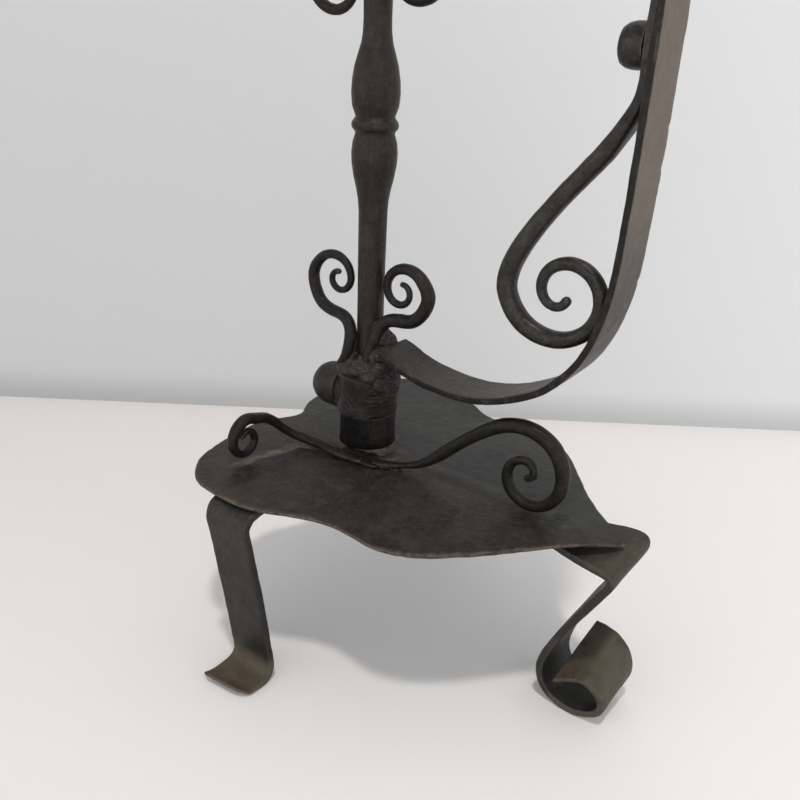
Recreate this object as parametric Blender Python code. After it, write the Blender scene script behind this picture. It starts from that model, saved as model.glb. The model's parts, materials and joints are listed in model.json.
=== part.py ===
"""Forged iron tripod stand: a three-lobed base plate on three bent flat-bar legs,
a turned stem with a knop on a swivel hub, a bowed flat-bar arm with a scroll
brace, two pairs of stem scrolls and two scrolls on the base.

The stem axis is the Z axis of the working frame, the arm and the front leg lie
along +X, and the floor is z = 0.  Pieces named left and right are at -Y and +Y
on the base, but at -X and +X on the stem.  At the end everything is moved so
that the middle of the footprint is the origin.  Dimensions are millimetres,
scaled to metres when a mesh is made.
"""

import math

import bmesh
import bpy
import numpy as np
from mathutils import Vector

for obj in list(bpy.data.objects):
    bpy.data.objects.remove(obj, do_unlink=True)

# ---------------------------------------------------------- shared dimensions
MM = 0.001
GAP = 0.3                      # clearance left between neighbouring pieces

PLATE_TOP = 115.0              # top face of the base plate above the floor
PLATE_T = 3.0
PLATE_LOW = PLATE_TOP - PLATE_T

LEG_T = 5.0
LEG_TOP = PLATE_LOW - GAP - LEG_T / 2       # mid-thickness under the plate

TENON_R = 8.0                  # tenon of the pivot block, through the plate
PIN_R = 10.0                   # upright pin of the block, inside the hub

HUB_R = 18.5
HUB_Z = (139.4, 165.5)
HUB_BORE_TOP = 158.2
KNOB_Z = 148.0
KNOB_SHANK_R = 4.0

STEM_TENON_R = 6.0
COLLAR_Z = (435.5, 461.0)

# ------------------------------------------------------------------- finishes
BROWN = (0.052, 0.038, 0.031)
BLACK = (0.033, 0.028, 0.026)
GREY = (0.060, 0.056, 0.051)
PALE = (0.150, 0.132, 0.118)
RUST = (0.085, 0.052, 0.036)

PLATE_IRON = dict(colour=GREY, roughness=0.55, metallic=0.5)
LEG_IRON = dict(colour=GREY, roughness=0.5, metallic=0.55)
RIVET_IRON = dict(colour=BROWN, roughness=0.45, metallic=0.6)
BROWNED_IRON = dict(colour=BROWN, roughness=0.4, metallic=0.6)
BLACK_IRON = dict(colour=BLACK, roughness=0.42, metallic=0.6)
HUB_IRON = dict(colour=BLACK, roughness=0.45, metallic=0.6)
WASHER_IRON = dict(colour=BLACK, roughness=0.5, metallic=0.6)
SCREW_IRON = dict(colour=BLACK, roughness=0.4, metallic=0.7)
ARM_IRON = dict(colour=PALE, roughness=0.5, metallic=0.5)
WELD_IRON = dict(colour=RUST, roughness=0.7, metallic=0.3)
CUTTER_FINISH = dict(colour=(1, 1, 1), roughness=0.5, metallic=0.6)


def material(name, colour, roughness, metallic):
    made = bpy.data.materials.new(name)
    made.use_nodes = True
    shader = made.node_tree.nodes["Principled BSDF"]
    shader.inputs["Base Color"].default_value = (*colour, 1.0)
    shader.inputs["Roughness"].default_value = roughness
    shader.inputs["Metallic"].default_value = metallic
    made.diffuse_color = (*colour, 1.0)
    return made


# --------------------------------------------------------------------- curves
def unit(vectors):
    return vectors / np.linalg.norm(vectors, axis=-1, keepdims=True)


def run_along(path):
    """Distance run along a path at each of its points."""
    steps = np.linalg.norm(np.diff(path, axis=0), axis=1)
    return np.concatenate([[0.0], np.cumsum(steps)])


def natural(knots, values, at):
    """Natural cubic spline of values over knots, evaluated at at."""
    values = np.asarray(values, float)
    flat = values.ndim == 1
    if flat:
        values = values[:, None]
    count = len(knots)
    span = np.diff(knots)
    system = np.eye(count)
    right = np.zeros_like(values)
    for i in range(1, count - 1):
        system[i, i - 1:i + 2] = span[i - 1], 2 * (span[i - 1] + span[i]), span[i]
        right[i] = 6 * ((values[i + 1] - values[i]) / span[i]
                        - (values[i] - values[i - 1]) / span[i - 1])
    curve = np.linalg.solve(system, right)
    k = np.clip(np.searchsorted(knots, at, side="right") - 1, 0, count - 2)
    before = ((knots[k + 1] - at) / span[k])[:, None]
    after = 1 - before
    result = (before * values[k] + after * values[k + 1]
              + ((before ** 3 - before) * curve[k] + (after ** 3 - after) * curve[k + 1])
              * (span[k] ** 2)[:, None] / 6)
    return result[:, 0] if flat else result


def spline(points, count):
    """Evenly spaced samples of the natural cubic spline through points."""
    points = np.asarray(points, float)
    chord = np.linalg.norm(np.diff(points, axis=0), axis=1)
    knots = np.concatenate([[0.0], np.cumsum(chord ** 0.75)])
    dense = natural(knots, points, np.linspace(0, knots[-1], 60 * len(points)))
    run = run_along(dense)
    wanted = np.linspace(0, run[-1], count)
    return np.stack([np.interp(wanted, run, column) for column in dense.T], axis=1)


def knot_spline(points, count):
    """Samples that keep the same share of each span, so two edges pair up."""
    knots = np.arange(len(points), dtype=float)
    return natural(knots, points, np.linspace(0, knots[-1], count))


def volute(centre, start, turn, radii, end=None):
    """Points every 22.5 degrees of a spiral whose radius is given at every
    quarter turn, up to the last quarter or to end; turn is +1 or -1."""
    quarters = np.arange(len(radii), dtype=float)
    at = np.arange(0, (end or len(radii) - 1) + 1e-6, 0.25)
    radius = natural(quarters, radii, at)
    angle = np.radians(start + turn * 90.0 * at)
    return np.stack([centre[0] + radius * np.cos(angle),
                     centre[1] + radius * np.sin(angle)], 1)


def upright(profile, y):
    """Points (x, height) placed in the upright plane at y."""
    return np.stack([profile[:, 0], np.full(len(profile), y), profile[:, 1]], 1)


def bearings(steps, offset=0.0):
    return 2 * math.pi * (np.arange(steps) + offset) / steps


def circle(radius, z, steps, centre=(0.0, 0.0)):
    angle = bearings(steps)
    return np.stack([centre[0] + radius * np.cos(angle),
                     centre[1] + radius * np.sin(angle), np.full(steps, z)], 1)


# --------------------------------------------------------------------- solids
# Each of these returns a shape: its points and its faces.
def loft(rings):
    """Equal rings of points joined up; each end is closed by one face or, if
    it is a single point, by a fan."""
    verts, faces, index = [], [], []
    for ring in rings:
        ring = np.atleast_2d(ring)
        index.append(list(range(len(verts), len(verts) + len(ring))))
        verts.extend(ring)
    for a, b in zip(index, index[1:]):
        if len(a) == 1:
            faces += [(a[0], b[(i + 1) % len(b)], b[i]) for i in range(len(b))]
        elif len(b) == 1:
            faces += [(a[i], a[(i + 1) % len(a)], b[0]) for i in range(len(a))]
        else:
            faces += [(a[i], a[(i + 1) % len(a)], b[(i + 1) % len(a)], b[i])
                      for i in range(len(a))]
    if len(index[0]) > 1:
        faces.append(index[0][::-1])
    if len(index[-1]) > 1:
        faces.append(index[-1])
    return verts, faces


def closed_loop(rings):
    """Equal rings of points joined up, the last one back to the first."""
    steps = len(rings[0])
    verts = [point for ring in rings for point in ring]
    faces = []
    for j in range(len(rings)):
        this, following = j * steps, (j + 1) % len(rings) * steps
        for i in range(steps):
            k = (i + 1) % steps
            faces.append((this + i, this + k, following + k, following + i))
    return verts, faces


def turned(profile, steps, centre=(0.0, 0.0)):
    """A solid of revolution about Z from (height, radius) pairs; a radius of
    zero is a point on the axis."""
    return loft([circle(radius, z, steps, centre) if radius > 0
                 else np.array([[centre[0], centre[1], z]]) for z, radius in profile])


def turned_ring(profile, steps):
    """A closed profile of (height, radius) pairs turned about Z."""
    return closed_loop([circle(radius, z, steps) for z, radius in profile])


def bar(path, across, half_n, half_a, sides=8):
    """A forged bar of oval section along a path, its ends rounded off: half_n
    is the half size in the plane of bending and half_a the half size across
    it, both per station.  across is kept as near as it can be."""
    tangent = unit(np.gradient(path, axis=0))
    across = np.broadcast_to(np.asarray(across, float), path.shape)
    across = unit(across - (across * tangent).sum(1)[:, None] * tangent)
    normal = np.cross(across, tangent)
    angle = bearings(sides, 0.5)

    def ring(i, shrink, push):
        middle = path[i] + tangent[i] * push
        return (middle + np.outer(np.cos(angle) * half_n[i] * shrink, normal[i])
                + np.outer(np.sin(angle) * half_a[i] * shrink, across[i]))

    first = min(half_n[0], half_a[0])
    last = min(half_n[-1], half_a[-1])
    return loft([path[0] - tangent[0] * first * 0.85, ring(0, 0.62, -first * 0.68)]
                + [ring(i, 1.0, 0.0) for i in range(len(path))]
                + [ring(-1, 0.62, last * 0.68), path[-1] + tangent[-1] * last * 0.85])


def half_sizes(share, stations):
    """Half sizes of a bar from rows of share of length, half size in the plane
    of bending, half size across it."""
    marks, half_n, half_a = zip(*stations)
    return np.interp(share, marks, half_n), np.interp(share, marks, half_a)


def strip(near, far, thick, chamfer=0.8):
    """A flat bar whose two edges follow two paths, with chamfered corners."""
    middle = (near + far) / 2
    widths = np.linalg.norm(far - near, axis=1)
    across = unit(far - near)
    normal = unit(np.cross(across, unit(np.gradient(middle, axis=0))))
    b, k = thick / 2, chamfer
    rings = []
    for m, c, n, width in zip(middle, across, normal, widths):
        a = width / 2
        outline = ((a, b - k), (a - k, b), (0, b), (k - a, b), (-a, b - k),
                   (-a, k - b), (k - a, -b), (0, -b), (a - k, -b), (a, k - b))
        rings.append(np.array([m + c * u + n * v for u, v in outline]))
    return loft(rings)


def moved(shape, matrix, shift=(0.0, 0.0, 0.0)):
    verts, faces = shape
    return [matrix @ np.asarray(v) + np.asarray(shift) for v in verts], faces


def about_z(degrees):
    a = math.radians(degrees)
    return np.array([[math.cos(a), -math.sin(a), 0.0],
                     [math.sin(a), math.cos(a), 0.0], [0.0, 0.0, 1.0]])


# -------------------------------------------------------------------- objects
def add(name, shape, finish, sharp=35.0, parent=None):
    """A mesh object from a shape in millimetres, with its own material; edges
    above the angle sharp, in degrees, are shaded sharp."""
    verts, faces = shape
    mesh = bpy.data.meshes.new(name)
    mesh.from_pydata([tuple(np.asarray(v) * MM) for v in verts],
                     [], [tuple(f) for f in faces])
    work = bmesh.new()
    work.from_mesh(mesh)
    bmesh.ops.recalc_face_normals(work, faces=work.faces)
    work.to_mesh(mesh)
    work.free()
    mesh.shade_smooth()
    mesh.set_sharp_from_angle(angle=math.radians(sharp))
    mesh.materials.append(material(name, **finish))
    made = bpy.data.objects.new(name, mesh)
    bpy.context.scene.collection.objects.link(made)
    made.parent = parent
    return made


def add_axis(name, z=0.0, parent=None):
    """An empty on the stem axis that carries the pieces moving with it."""
    made = bpy.data.objects.new(name, None)
    bpy.context.scene.collection.objects.link(made)
    made.parent = parent
    made.location = (0.0, 0.0, z * MM)
    return made


def add_cutter(name, radius, start, end, steps, parent=None):
    """A hidden round cutter between two points along X or Z."""
    start, end = np.asarray(start, float), np.asarray(end, float)
    axis = unit(end - start)
    side = unit(np.cross(axis, (0.0, 1.0, 0.0)))
    up = np.cross(axis, side)
    angle = bearings(steps, 0.37)      # offset keeps its edges off other edges
    rim = radius * (np.outer(np.cos(angle), side) + np.outer(np.sin(angle), up))
    made = add(name, loft([start + rim, end + rim]), CUTTER_FINISH, parent=parent)
    made.hide_render = True
    made.display_type = "WIRE"
    return made


def cut(target, tool):
    made = target.modifiers.new("cut_" + tool.name, "BOOLEAN")
    made.operation = "DIFFERENCE"
    made.solver = "EXACT"
    made.object = tool


# ----------------------------------------------------------------- base plate
# angle from the arm (degrees) and radius, the same on both sides of the arm:
# a pointed tip, a waist, a round lobe and a rear notch
PLATE_OUTLINE = (
    (0, 178.0), (6, 161.0), (13, 149.5), (20, 142.0), (28, 136.0), (38, 129.0),
    (48, 119.0), (56, 106.0), (64, 98.5), (71, 97.5), (80, 101.0), (90, 106.5),
    (102, 110.5), (114, 113.0), (124, 108.5), (134, 99.0), (146, 87.0),
    (157, 80.5), (168, 70.0), (180, 62.0),
)
PLATE_STEPS = 84
PLATE_SHARES = (0.3, 0.6, 0.8, 0.993)       # rings, as shares of the rim radius
RIM_SAG = 1.6                  # sag of the rim between the tip and the lobes
SAG_ANGLE = 54                 # where the rim sags most, either side of the arm
SAG_SPAN = 24                  # degrees from there to no sag
SAG_FROM = 0.6                 # share of the radius where the sag starts
TIP_DROOP = 2.0                # how far the pointed tip hangs
DROOP_FROM_X = 149.0
DROOP_FADE_Y = 6.0             # the droop fades over this on the +Y side


def add_base_plate():
    angles, radii = np.array(PLATE_OUTLINE, float).T
    knots = np.concatenate([angles, 360.0 - angles[-2:0:-1], [360.0]])
    values = np.concatenate([radii, radii[-2:0:-1], [radii[0]]])
    around = np.arange(PLATE_STEPS) * 360.0 / PLATE_STEPS
    rim = natural(knots, values, around)
    off_sag = np.abs(np.abs((around + 180) % 360 - 180) - SAG_ANGLE)
    sag = np.where(off_sag < SAG_SPAN, np.cos(np.radians(off_sag * 90 / SAG_SPAN)), 0.0)

    def plate_ring(share, height):
        ring = circle(rim * share, height, PLATE_STEPS)
        x, y = ring[:, 0], ring[:, 1]
        beyond = np.clip((x - DROOP_FROM_X) / (radii[0] - DROOP_FROM_X), 0.0, 1.0)
        fade = np.exp(-(np.maximum(y, 0.0) / DROOP_FADE_Y) ** 2)
        ring[:, 2] -= RIM_SAG * sag * max(0.0, (share - SAG_FROM) / (1 - SAG_FROM)) ** 2
        ring[:, 2] -= TIP_DROOP * beyond ** 1.5 * fade
        return ring

    hole_r = TENON_R + GAP
    rings = [circle(hole_r, PLATE_LOW, PLATE_STEPS)]
    rings += [plate_ring(share, PLATE_LOW) for share in PLATE_SHARES]
    rings.append(plate_ring(1.0, (PLATE_TOP + PLATE_LOW) / 2))
    rings += [plate_ring(share, PLATE_TOP) for share in reversed(PLATE_SHARES)]
    rings.append(circle(hole_r, PLATE_TOP, PLATE_STEPS))
    return add("base_plate", closed_loop(rings), PLATE_IRON, sharp=50)


# ----------------------------------------------------------------------- legs
# Leg profiles are mid-thickness points: distance out from the axis and height.
# The front leg ends in a flaring roll, so its two edges follow two profiles,
# near at -Y and far at +Y.
FRONT_LEG_W = 34.0
FRONT_NEAR = (
    (98, LEG_TOP), (125, LEG_TOP - 0.2), (150, 105.6), (166, 101.8),
    (174.0, 99.4), (175.4, 95.2), (171.5, 85), (162.4, 64.5), (152.6, 44),
    (147.2, 28), (146.9, 16.5), (152.4, 6.8), (164.5, LEG_T / 2), (177.5, 4.8),
    (185.2, 12.2), (181.8, 20.6), (172.5, 24.0), (161.5, 21.5),
)
FRONT_FAR = (
    (98, LEG_TOP), (125, LEG_TOP), (153, LEG_TOP - 0.4), (171, 110.6),
    (180.8, 110.9), (183.2, 106.5), (181, 96), (172, 75), (160.8, 51.5),
    (151.6, 31), (149.0, 17.5), (154.4, 7.0), (166, LEG_T / 2), (181.2, 7.6),
    (187.6, 20.5), (184.2, 32.5), (177.4, 40.0), (168.8, 43.6),
)
FRONT_FLAT_BELOW = 0.9         # points lower than this are put on the floor

SIDE_LEG_ANGLE = 90.0          # side legs either side of the arm direction
SIDE_LEG_W = 32.0
SIDE_LEG = (
    (60, LEG_TOP), (80, LEG_TOP - 0.1), (99, LEG_TOP - 0.3), (106.6, 107.0),
    (110.2, 101.6), (110.4, 94), (109.6, 75), (107.8, 42), (106.3, 16), (106.9, 6.8),
    (110.6, 2.9), (118, LEG_T / 2), (125, 3.0), (131.5, 6.2),
)
SIDE_LEG_LEAN = ((8.0, -1.0), (60.0, 4.2), (101.0, 11.5))   # height, set back to -X
SIDE_TOE_SLANT = (1.2, -2.4)   # added to the toe at the back and front edges
SIDE_FLAT_BELOW = 0.35


def flat_foot(shape, below):
    """The same shape with its lowest points brought onto the floor."""
    verts, faces = shape
    for v in verts:
        if v[2] < below:
            v[2] = 0.0
    return verts, faces


def add_front_leg():
    near = upright(knot_spline(FRONT_NEAR, 46), -FRONT_LEG_W / 2)
    far = upright(knot_spline(FRONT_FAR, 46), FRONT_LEG_W / 2)
    return add("leg_front", flat_foot(strip(near, far, LEG_T), FRONT_FLAT_BELOW), LEG_IRON)


def add_side_legs():
    """The legs at -Y and +Y, drawn along +X, turned to -Y and mirrored."""
    line = spline(SIDE_LEG, 30)
    edges = [upright(line, y) for y in (-SIDE_LEG_W / 2, SIDE_LEG_W / 2)]
    for edge, slant in zip(edges, SIDE_TOE_SLANT):
        edge[-1, 0] += slant
        edge[:, 1] -= np.interp(edge[:, 2], *zip(*SIDE_LEG_LEAN))
    shape = flat_foot(strip(*edges, LEG_T), SIDE_FLAT_BELOW)
    to_left = about_z(-SIDE_LEG_ANGLE)
    mirror_y = np.diag([1.0, -1.0, 1.0])
    return (add("leg_left", moved(shape, to_left), LEG_IRON),
            add("leg_right", moved(shape, mirror_y @ to_left), LEG_IRON))


# ----------------------------------------------------------------- leg rivets
RIVET_R = 3.2
RIVET_HEAD_R = 5.2
RIVET_HEAD_H = 0.5
RIVET_TAIL_DROP = 0.6          # tail below the leg's under face
FRONT_RIVET_X = 140.0
FRONT_RIVET_DROP = 3.2         # the front leg has begun to bend down there
SIDE_RIVET_Y = 86.0
SIDE_RIVET_BACK = 12.0         # set back from the axis with the leg's top
RIVET_HOLE_Z = (90.0, 125.0)


def add_leg_rivet(name, plate, leg, x, y, drop=0.0):
    """A rivet through the plate and one leg, with its hole in both."""
    tail = LEG_TOP - LEG_T / 2 - drop - RIVET_TAIL_DROP
    seat = PLATE_TOP + GAP
    crown = seat + RIVET_HEAD_H
    profile = (
        (tail - 1.9, 0.0), (tail - 1.5, 3.4), (tail - 0.5, 5.0),
        (tail, RIVET_R + 1.9), (tail, RIVET_R), (seat, RIVET_R),
        (seat, RIVET_HEAD_R), (crown, RIVET_HEAD_R - 1.2), (crown + 0.2, 0.0))
    add(name, turned(profile, 16, (x, y)), RIVET_IRON)
    low, high = RIVET_HOLE_Z
    tool = add_cutter("hole_" + name, RIVET_R + GAP, (x, y, low), (x, y, high), steps=20)
    cut(plate, tool)
    cut(leg, tool)


# ---------------------------------------------------------------- pivot block
BLOCK_R = 18.0
BLOCK_TOP = 139.0
PIN_TOP = 157.5
TENON_HEAD_TOP = 108.0         # spread lower end of the tenon
# height and radius
BLOCK_PROFILE = (
    (104.3, 0.0), (104.3, 7.0), (105.2, 9.4), (106.8, 10.2), (107.9, 9.6),
    (TENON_HEAD_TOP, TENON_R), (PLATE_TOP + GAP, TENON_R),
    (PLATE_TOP + GAP, BLOCK_R - 0.6), (PLATE_TOP + 1.0, BLOCK_R),
    (BLOCK_TOP - 1.0, BLOCK_R), (BLOCK_TOP, BLOCK_R - 1.0), (BLOCK_TOP, PIN_R),
    (PIN_TOP - 1.0, PIN_R), (PIN_TOP, PIN_R - 1.0), (PIN_TOP, 0.0),
)
WASHER_PROFILE = (
    (TENON_HEAD_TOP + GAP, TENON_R + GAP), (TENON_HEAD_TOP + GAP, 14.2),
    (109.0, 15.0), (111.0, 15.0), (PLATE_LOW - GAP, 14.4),
    (PLATE_LOW - GAP, TENON_R + GAP),
)
# radius, height above the plate and share of the wobble
FILLET_OUTLINE = (
    (BLOCK_R + GAP, 0.35, 0.0), (BLOCK_R + 3.8, 0.35, 1.0), (BLOCK_R + 2.6, 1.7, 1.0),
    (BLOCK_R + 1.1, 2.9, 1.0), (BLOCK_R + GAP, 3.4, 0.0),
)
FILLET_STEPS = 40


def add_pivot_block():
    add("pivot_block", turned(BLOCK_PROFILE, 32), BLACK_IRON)
    add("tenon_washer", turned_ring(WASHER_PROFILE, 24), WASHER_IRON)


def add_block_fillet():
    """Rough fillet of weld round the foot of the block, as a lumpy ring."""
    angle = bearings(FILLET_STEPS)
    wobble = 0.5 * np.sin(5 * angle + 0.6) + 0.35 * np.sin(9 * angle + 2.1)
    rings = [circle(radius + wobble * share, PLATE_TOP + rise, FILLET_STEPS)
             for radius, rise, share in FILLET_OUTLINE]
    add("block_fillet", closed_loop(rings), WELD_IRON)


# -------------------------------------------------------- scrolls on the base
# Lead: (x, y, z) of the flattened tail and the rise, then the volute in an
# upright plane.  Bar: share of length, half thickness, half width.
FRONT_SCROLL_Y = -9.0
FRONT_SCROLL_LEAD = (
    (24.5, -23.6, 117.4), (33.0, -20.2, 117.6), (42.0, -17.6, 119.4),
    (51.5, -16.2, 122.6), (60.0, -14.8, 127.8), (68.0, -13.6, 135.0),
    (78.0, -12.4, 144.6), (90.0, -11.0, 154.6), (101.0, -9.8, 161.8),
    (111.0, -9.2, 165.0),
)
FRONT_SCROLL_VOLUTE = dict(centre=(121.0, 139.6), start=90.0, turn=-1,
                           radii=(25.6, 20.6, 19.2, 11.6, 6.0, 3.4, 3.4))
FRONT_SCROLL_BAR = (
    (0, 1.5, 3.4), (0.10, 2.1, 3.8), (0.22, 4.0, 4.2),
    (0.55, 4.3, 4.4), (0.8, 3.3, 3.6), (1.0, 2.3, 2.5),
)
SIDE_SCROLL_X = -39.3
SIDE_SCROLL_LEAD = (
    (16.5, -27.2, 117.4), (5.0, -28.8, 117.6), (-8.0, -28.6, 117.9),
    (-19.0, -28.6, 118.2), (-28.0, -30.4, 119.2), (-34.5, -35.2, 122.8),
    (-38.2, -42.8, 130.0), (SIDE_SCROLL_X, -52.0, 137.2),
)
# the centre is given as distance out towards -Y and height
SIDE_SCROLL_VOLUTE = dict(centre=(69.5, 130.0), start=127.0, turn=-1,
                          radii=(13.0, 10.3, 10.2, 8.2, 4.7, 3.2))
SIDE_SCROLL_BAR = (
    (0, 1.5, 3.2), (0.16, 2.1, 3.8), (0.3, 2.9, 3.8),
    (0.6, 3.5, 3.7), (0.8, 2.8, 3.0), (1.0, 2.0, 2.2),
)
SIDE_COIL_Y = -50              # beyond this the bar lies in the volute's plane


def add_front_scroll():
    turns = upright(volute(**FRONT_SCROLL_VOLUTE), FRONT_SCROLL_Y)
    path = spline(np.concatenate([FRONT_SCROLL_LEAD, turns]), 52)
    thick, wide = half_sizes(np.linspace(0, 1, len(path)), FRONT_SCROLL_BAR)
    add("base_scroll_front", bar(path, (0.0, 1.0, 0.0), thick, wide), BROWNED_IRON)


def add_side_scroll():
    out, height = volute(**SIDE_SCROLL_VOLUTE).T
    turns = np.stack([np.full(len(out), SIDE_SCROLL_X), -out, height], 1)
    path = spline(np.concatenate([SIDE_SCROLL_LEAD, turns]), 46)
    thick, wide = half_sizes(np.linspace(0, 1, len(path)), SIDE_SCROLL_BAR)
    heading = np.gradient(path, axis=0)
    # level direction square to the bar
    across = np.stack([heading[:, 1], -heading[:, 0], 0 * heading[:, 0]], 1)
    across[path[:, 1] < SIDE_COIL_Y] = (-1.0, 0.0, 0.0)
    add("base_scroll_side", bar(path, across, thick, wide), BROWNED_IRON)


# --------------------------------------------------------------- hub and knob
KNOB_R = 14.3
KNOB_TIP = 43.0                # distance of the dome's tip from the stem axis
KNOB_BORE_END = HUB_R + 10.0   # how far out the knob is bored for its screw
KNOB_HOLE_X = (-26, -6)
DOME_STEPS = 7
TO_MINUS_X = np.array([[0.0, 0.0, -1.0], [0.0, 1.0, 0.0], [1.0, 0.0, 0.0]])
# height and radius
HUB_PROFILE = (
    (HUB_Z[0], PIN_R + GAP), (HUB_Z[0], HUB_R - 0.7), (HUB_Z[0] + 0.8, HUB_R),
    (HUB_Z[1] - 1.6, HUB_R), (HUB_Z[1], HUB_R - 1.8),
    (HUB_Z[1], STEM_TENON_R + GAP), (HUB_BORE_TOP, STEM_TENON_R + GAP),
    (HUB_BORE_TOP, PIN_R + GAP),
)
# distance from the stem axis and radius
KNOB_SKIRT = (
    (KNOB_BORE_END, 0.0), (KNOB_BORE_END, KNOB_SHANK_R + GAP),
    (HUB_R + GAP, KNOB_SHANK_R + GAP), (HUB_R + GAP, KNOB_R - 1.0),
    (HUB_R + 1.2, KNOB_R), (KNOB_TIP - KNOB_R, KNOB_R),
)
SCREW_PROFILE = (
    (PIN_R + 0.45, 0.0), (PIN_R + 0.45, KNOB_SHANK_R - 0.8),
    (PIN_R + 1.25, KNOB_SHANK_R), (KNOB_BORE_END - GAP, KNOB_SHANK_R),
    (KNOB_BORE_END - GAP, 0.0),
)


def add_hub(swivel):
    hub = add("swivel_hub", turned_ring(HUB_PROFILE, 36), HUB_IRON, parent=swivel)
    start, end = KNOB_HOLE_X
    cut(hub, add_cutter("hole_knob", KNOB_SHANK_R + GAP, (start, 0, KNOB_Z),
                        (end, 0, KNOB_Z), steps=24, parent=swivel))


def add_clamp(clamp):
    """A domed knob and its screw, on the -X side of the hub."""
    dome = []
    for k in range(1, DOME_STEPS):
        angle = math.radians(90.0 * k / DOME_STEPS)
        dome.append((KNOB_TIP - KNOB_R + KNOB_R * math.sin(angle),
                     KNOB_R * math.cos(angle)))
    knob = turned([*KNOB_SKIRT, *dome, (KNOB_TIP, 0.0)], 26)
    add("clamp_knob", moved(knob, TO_MINUS_X), BROWNED_IRON, parent=clamp)
    screw = turned(SCREW_PROFILE, 24)
    add("clamp_screw", moved(screw, TO_MINUS_X), SCREW_IRON, parent=clamp)


# ----------------------------------------------------- stem, collar and finial
# height and radius: plain shaft, double-bulb knop with a bead, shaft
STEM_PROFILE = (
    (165.9, 8.5), (171, 8.1), (230, 8.15), (252, 8.35), (264, 8.55),
    (270, 8.95), (276, 9.95), (283, 11.6), (290, 12.8), (296, 13.15),
    (301.5, 12.6), (304.8, 11.6), (306.4, 11.1), (307.6, 11.7), (308.8, 12.9),
    (310.6, 13.3), (312.6, 12.8), (313.8, 11.7), (315.0, 11.0),
    (316.6, 11.6), (320.4, 13.0), (327, 13.6), (334, 13.25), (341, 12.1),
    (347, 10.3), (352, 8.75), (357, 7.95), (364, 7.7), (COLLAR_Z[0] - GAP, 7.7),
)
STEM_LOW_END = HUB_BORE_TOP + 0.6
STEM_HIGH_END = COLLAR_Z[1] + 5.5
COLLAR_R = 17.0
COLLAR_EDGE = 1.6              # chamfer of the collar
COLLAR_PROFILE = (
    (COLLAR_Z[0], STEM_TENON_R + GAP), (COLLAR_Z[0], COLLAR_R - COLLAR_EDGE),
    (COLLAR_Z[0] + COLLAR_EDGE, COLLAR_R), (COLLAR_Z[1] - COLLAR_EDGE, COLLAR_R),
    (COLLAR_Z[1], COLLAR_R - COLLAR_EDGE), (COLLAR_Z[1], STEM_TENON_R + GAP),
)
FINIAL_SEAT = COLLAR_Z[1] + GAP
FINIAL_BORE_TOP = COLLAR_Z[1] + 6.2
FINIAL = (                     # height above its seat and radius
    (0.0, 11.5), (2.4, 12.2), (4.6, 11.4), (7.0, 7.4), (9.4, 6.9),
    (13.0, 9.6), (18.5, 12.1), (24.0, 11.6), (29.0, 8.4), (33.0, 4.4),
    (35.5, 3.6), (38.0, 1.9), (38.6, 0.0),
)


def add_stem(swivel):
    """The turned stem with a tenon at each end."""
    profile = [
        (STEM_LOW_END, 0.0), (STEM_LOW_END, STEM_TENON_R),
        (STEM_PROFILE[0][0], STEM_TENON_R), *STEM_PROFILE,
        (STEM_PROFILE[-1][0], STEM_TENON_R), (STEM_HIGH_END, STEM_TENON_R),
        (STEM_HIGH_END, 0.0)]
    add("stem", turned(profile, 24), BROWNED_IRON, sharp=40, parent=swivel)


def add_collar_and_finial(swivel):
    add("upper_collar", turned_ring(COLLAR_PROFILE, 32), HUB_IRON, parent=swivel)
    bore_r = STEM_TENON_R + GAP
    profile = [(FINIAL_BORE_TOP, 0.0), (FINIAL_BORE_TOP, bore_r), (FINIAL_SEAT, bore_r)]
    profile += [(FINIAL_SEAT + rise, radius) for rise, radius in FINIAL]
    add("finial", turned(profile, 24), BROWNED_IRON, parent=swivel)


# --------------------------------------------------------------- stem scrolls
# lead: (x, y, z) from the foot, then a volute in the plane at y; radii: half
# size at SCROLL_MARKS; mirror_z: height the upper scroll is mirrored about
SCROLL_MARKS = (0, 0.12, 0.3, 0.5, 0.72, 1.0)   # shares of the length
STEM_SCROLLS = dict(
    left=dict(
        lead=((-12.2, -12.4, 169.3), (-10.4, -12.6, 174), (-8.8, -12.5, 184),
              (-9.6, -11.0, 191.8), (-14.8, -8.2, 197.6), (-26.0, -6.0, 199.6),
              (-36.0, -4.9, 204.0)),
        turns=dict(centre=(-21.8, 219.8), start=180.0, turn=-1,
                   radii=(20.4, 14.4, 9.4, 6.1, 5.2, 4.9)),
        y=-4.5, radii=(3.1, 3.2, 3.8, 3.6, 2.5, 1.8), mirror_z=301.0),
    right=dict(
        lead=((0.6, -13.4, 169.3), (4.2, -13.1, 176.4), (8.8, -12.3, 188.0),
              (11.9, -9.8, 197.0), (15.8, -5.4, 201.4), (23.0, -2.0, 202.6),
              (32.2, 0.2, 204.2)),
        turns=dict(centre=(22.8, 219.2), start=0.0, turn=1,
                   radii=(18.6, 14.3, 11.1, 7.3, 5.3, 4.9)),
        y=1.0, radii=(3.1, 3.3, 4.2, 4.1, 2.8, 1.7), mirror_z=303.0),
)


def add_stem_scroll(level, side, swivel, lead, turns, y, radii, mirror_z):
    upper = level == "upper"
    if upper:                         # its foot stops short of the collar
        foot = 2 * mirror_z - COLLAR_Z[0] + GAP + 0.9 * radii[0]
        first = (*lead[0][:2], max(lead[0][2], foot))
        lead = (first, *(p for p in lead[1:] if p[2] > foot + 4.0))
    path = spline(np.concatenate([lead, upright(volute(**turns), y)]), 37)
    radius = np.interp(np.linspace(0, 1, len(path)), SCROLL_MARKS, radii)
    if upper:
        path[:, 2] = 2 * mirror_z - path[:, 2]
    add(f"{level}_scroll_{side}", bar(path, (0.0, 1.0, 0.0), radius, radius),
        BROWNED_IRON, parent=swivel)


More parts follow.
